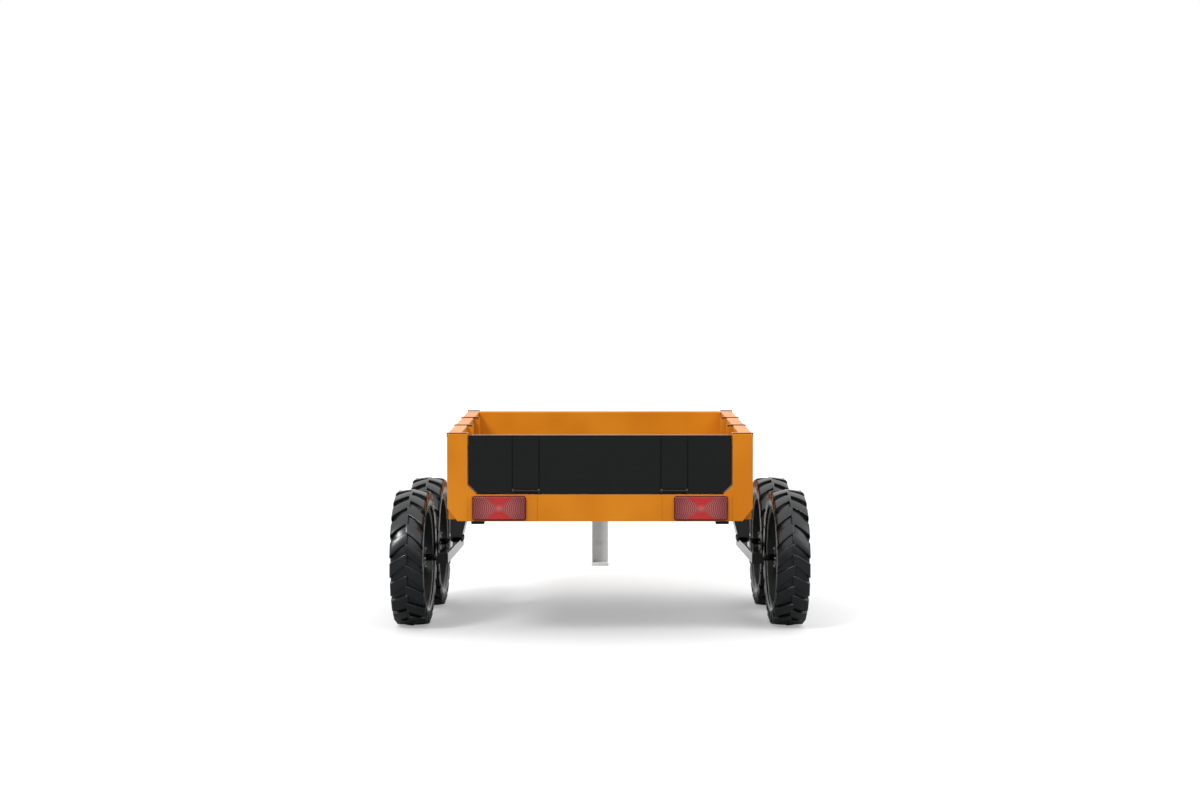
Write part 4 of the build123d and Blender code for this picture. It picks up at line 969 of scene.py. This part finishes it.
# %% [markdown]
# ## Pale line along the tailgate's top
#
# The tailgate's upper edge carries a narrow pale strip, just ahead of its rear face: a painted
# highlight along the edge. It is a long plate with rounded ends that rides with the gate.

# %% Gate edge strip
gate_low, gate_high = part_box("tailgate")
STRIP_HEIGHT = 1.0 * MM
STRIP_INSET = 8.0 * MM
STRIP_NEAR = 5.5 * MM
STRIP_FAR = 9.5 * MM
STRIP_ROUND = 0.4 * MM
strip = plate(
    Vector((gate_low.x + STRIP_INSET, gate_low.y + STRIP_NEAR, gate_high.z)),
    Vector((gate_high.x - STRIP_INSET, gate_low.y + STRIP_FAR, gate_high.z + STRIP_HEIGHT)),
    STRIP_ROUND,
)
rounded(strip, STRIP_ROUND)
# the strip's pale finish is a painted highlight
bring_in(strip, "gate_edge_strip", painted_gate_highlight.material, "tailgate")
print("gate from", gate_low, "to", gate_high)

# %% [markdown]
# ## Sealed joints beside the sill
#
# The sill butts against the corner posts, and a bead of orange sealant fills each joint, or mud
# would collect in it. The bead is a narrow plate from the sill's foot up to the tailgate, with
# rounded edges, just proud of both parts.

# %% Sealed joints
BEAD_WIDE = 3.2 * MM
BEAD_PROUD = 0.25 * MM
BEAD_DEEP = 2.0 * MM
BEAD_TOP_GAP = 1.5 * MM
BEAD_CORNER = 0.6 * MM
BEAD_ROUND = 0.2 * MM
SIDES = (("left", -1), ("right", 1))
sill_low, sill_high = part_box("rear_sill")
post_low, post_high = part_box("corner_post_right")
joint_x = (sill_high.x + post_low.x) / 2
bead_rear = post_low.y - BEAD_PROUD
bead_front = post_low.y + BEAD_DEEP
bead_top = sill_high.z - BEAD_TOP_GAP
for side, sign in SIDES:
    bead = plate(
        Vector((sign * joint_x - BEAD_WIDE / 2, bead_rear, sill_low.z)),
        Vector((sign * joint_x + BEAD_WIDE / 2, bead_front, bead_top)),
        BEAD_CORNER,
    )
    rounded(bead, BEAD_ROUND)
    bring_in(bead, f"sill_joint_bead_{side}", orange.material, "tub")
print("sealed joints at", joint_x, "from", sill_low.z, "to", bead_top)

# %% [markdown]
# ## Dark strips of painted shade on the wall tops
# The walls are made of blocks that butt together. A thin black strip lies over the rear edge of
# each block and over the far end of the wall, and turns down a little outside: painted shade, a
# dark sheet for the shadowed line where one block steps to the next. Each strip is a cube that is
# cut near its outer end. The short piece's lower face is extruded down along the wall, and the
# edges are rounded.

# %% Painted shade strips
SHADE_LINE_RISE = 1.9 * MM
SHADE_LINE_WIDE = 3.2 * MM
SHADE_LINE_SUNK = 0.4 * MM
SHADE_LINE_TURN = 7.0 * MM
SHADE_LINE_THICK = 2.4 * MM
SHADE_LINE_PROUD = 0.6 * MM
SHADE_LINE_SETBACK = 0.5 * MM
SHADE_LINE_ROUND = 0.5 * MM
STAKE_DEPTH = 13.0 * MM
WALL_BLOCKS = 3
_, wall_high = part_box("side_panels_right")
_, front_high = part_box("front_wall")
block_pitch = (wall_high.y - post_low.y) / WALL_BLOCKS
outer = post_high.x + SHADE_LINE_PROUD
# each strip's place along the wall, and how far in towards the tub it starts
shade_line_places = [
    (post_low.y + SHADE_LINE_WIDE / 2 + SHADE_LINE_SETBACK, post_low.x),
    (post_low.y + block_pitch, front_high.x - STAKE_DEPTH),
    (post_low.y + 2 * block_pitch, front_high.x - STAKE_DEPTH),
    (wall_high.y - SHADE_LINE_WIDE, front_high.x),
]


def shade_line_strip(sign, y, inner):
    """One dark strip of painted shade across the wall's top, turned down over its outer face."""
    left, right = sorted((sign * inner, sign * outer))
    strip = block(
        Vector((left, y - SHADE_LINE_WIDE / 2, wall_high.z - SHADE_LINE_SUNK)),
        Vector((right, y + SHADE_LINE_WIDE / 2, wall_high.z + SHADE_LINE_RISE)),
    )
    edit(strip)
    pick("edges", lambda e: reach(e, 0) > SHADE_LINE_WIDE * 2)
    bpy.ops.mesh.subdivide(number_cuts=1)
    pick("verts", lambda v: abs(abs(v.co.x) - (inner + outer) / 2) < MM)
    bpy.ops.transform.translate(value=(sign * ((outer - inner) / 2 - SHADE_LINE_THICK), 0, 0))
    pick("faces", lambda f: f.normal.z < -0.9 and abs(middle(f).x) > outer - SHADE_LINE_THICK)
    bpy.ops.mesh.extrude_region_move(TRANSFORM_OT_translate={"value": (0, 0, -SHADE_LINE_TURN)})
    leave()
    return outward(rounded(strip, SHADE_LINE_ROUND))


# dark nylon strips at the block joints: painted shade
for side, sign in SIDES:
    edging = joined([shade_line_strip(sign, y, inner) for y, inner in shade_line_places], "edging")
    bring_in(edging, f"wall_edgings_{side}", nylon.material, "tub")
print("shade_lines at", [round(y, 4) for y, _ in shade_line_places], triangles(edging), "triangles")

# %% [markdown]
# ## Studio floor
#
# The floor is a wide sheet of white paper that glows a little, so that shadows on it stay faint.
# White paper would also light the trailer from below and wash out its dark steel. The Light Path
# node tells a direct look from a mirrored or scattered one, so the paper is bright where it is
# seen, but much darker for the light that it sends to the trailer, most of all behind it.

# %% Floor
FLOOR_SIZE = 60
SEEN_PAPER = 0.56
SEEN_GLOW = 0.66
# what lights the trailer: first the paper behind it, then the paper ahead of it
LIGHTING_PAPER = (0.20, 0.38)
LIGHTING_GLOW = (0.0, 0.12)
CAMERA_RAY = 0


def grey(value):
    """An even grey, in linear light."""
    return (value, value, value)


leave()
bpy.ops.mesh.primitive_plane_add(size=FLOOR_SIZE)
floor = bpy.context.object
floor.name = "studio_floor"
paper = Finish("studio_paper", Specular_IOR_Level=0.2, Emission_Strength=0.5)
spot = paper.place()
tone = paper.noise(spot, scale=0.7, detail=1.0)
_, y, _ = paper.split(spot)
ahead = y.between(-1.0, 1.2)
seen = paper.node("LightPath", output=CAMERA_RAY)
lighting_paper = paper.mix(ahead, *map(grey, LIGHTING_PAPER))
lighting_glow = paper.mix(ahead, *map(grey, LIGHTING_GLOW))
paper.set(
    Base_Color=paper.mix(seen, lighting_paper, grey(SEEN_PAPER)),
    Emission_Color=paper.mix(seen, lighting_glow, grey(SEEN_GLOW)),
    Roughness=0.90 + tone * 0.08,
)
floor.data.materials.append(paper.material)
print("floor", floor.dimensions)

# %% [markdown]
# ## Sky and lamps
#
# The sky is plain white where it is seen. The light it gives is brightest overhead and weak from
# behind the trailer, because black panels that face a white sky turn grey. One soft lamp high on
# the left gives the gloss something to mirror, and a weaker, wider one stands on the right.

# %% Sky and lamps
class Sky(Finish):
    """The world's shader, built with the same calls as a material."""

    def __init__(self, name):
        self.world = bpy.data.worlds.new(name)
        self.world.use_nodes = True
        self.tree = self.world.node_tree
        self.shader = self.tree.nodes["Background"]


SKY_FRONT = 1.0
SKY_BEHIND = 0.14
SKY_TOP = 1.5
LAMP_AIM = Vector((0, 0, 0.3))

sky = Sky("studio_sky")
_, y, z = sky.split(sky.node("TexCoord", output=OBJECT_COORDINATES))
overhead = z.between(0.25, 0.95)
behind = (0 - y).between(-0.15, 0.75) * (1 - z.between(0.10, 0.60))
glow = SKY_FRONT - behind * (SKY_FRONT - SKY_BEHIND) + overhead * (SKY_TOP - SKY_FRONT)
seen = sky.node("LightPath", output=CAMERA_RAY)
sky.set(Color=(1.0, 1.0, 1.0), Strength=seen + (1 - seen) * glow)
bpy.context.scene.world = sky.world


def lamp(name, place, softness, strength):
    """A soft far lamp that shines from a place towards the tub."""
    bpy.ops.object.light_add(type="SUN", location=place)
    made = bpy.context.object
    made.name = name
    made.data.angle = radians(softness)
    made.data.energy = strength
    made.rotation_euler = (LAMP_AIM - Vector(place)).to_track_quat("-Z", "Y").to_euler()


lamp("key_lamp", place=(-2.6, -3.6, 4.2), softness=14, strength=1.4)
lamp("fill_lamp", place=(3.2, -2.8, 3.6), softness=40, strength=0.6)
bpy.context.scene.view_settings.view_transform = "Standard"

# %% [markdown]
# ## Camera
#
# The camera stands well behind the trailer, above its tub, and looks slightly down. From so far
# away a long lens is needed, and it keeps the near and far wheels close to the same size.

# %% Camera
CAMERA_BACK = 6.345
CAMERA_HEIGHT = 0.84
PITCH_DOWN = 3.0
LENS_LENGTH = 74.4
SENSOR_WIDTH = 36.0
bpy.ops.object.camera_add(
    location=(0, -CAMERA_BACK, CAMERA_HEIGHT), rotation=(radians(90 - PITCH_DOWN), 0, 0)
)
camera = bpy.context.object
camera.data.lens = LENS_LENGTH
camera.data.sensor_width = SENSOR_WIDTH
bpy.context.scene.camera = camera
leave()
print("camera", camera.location)
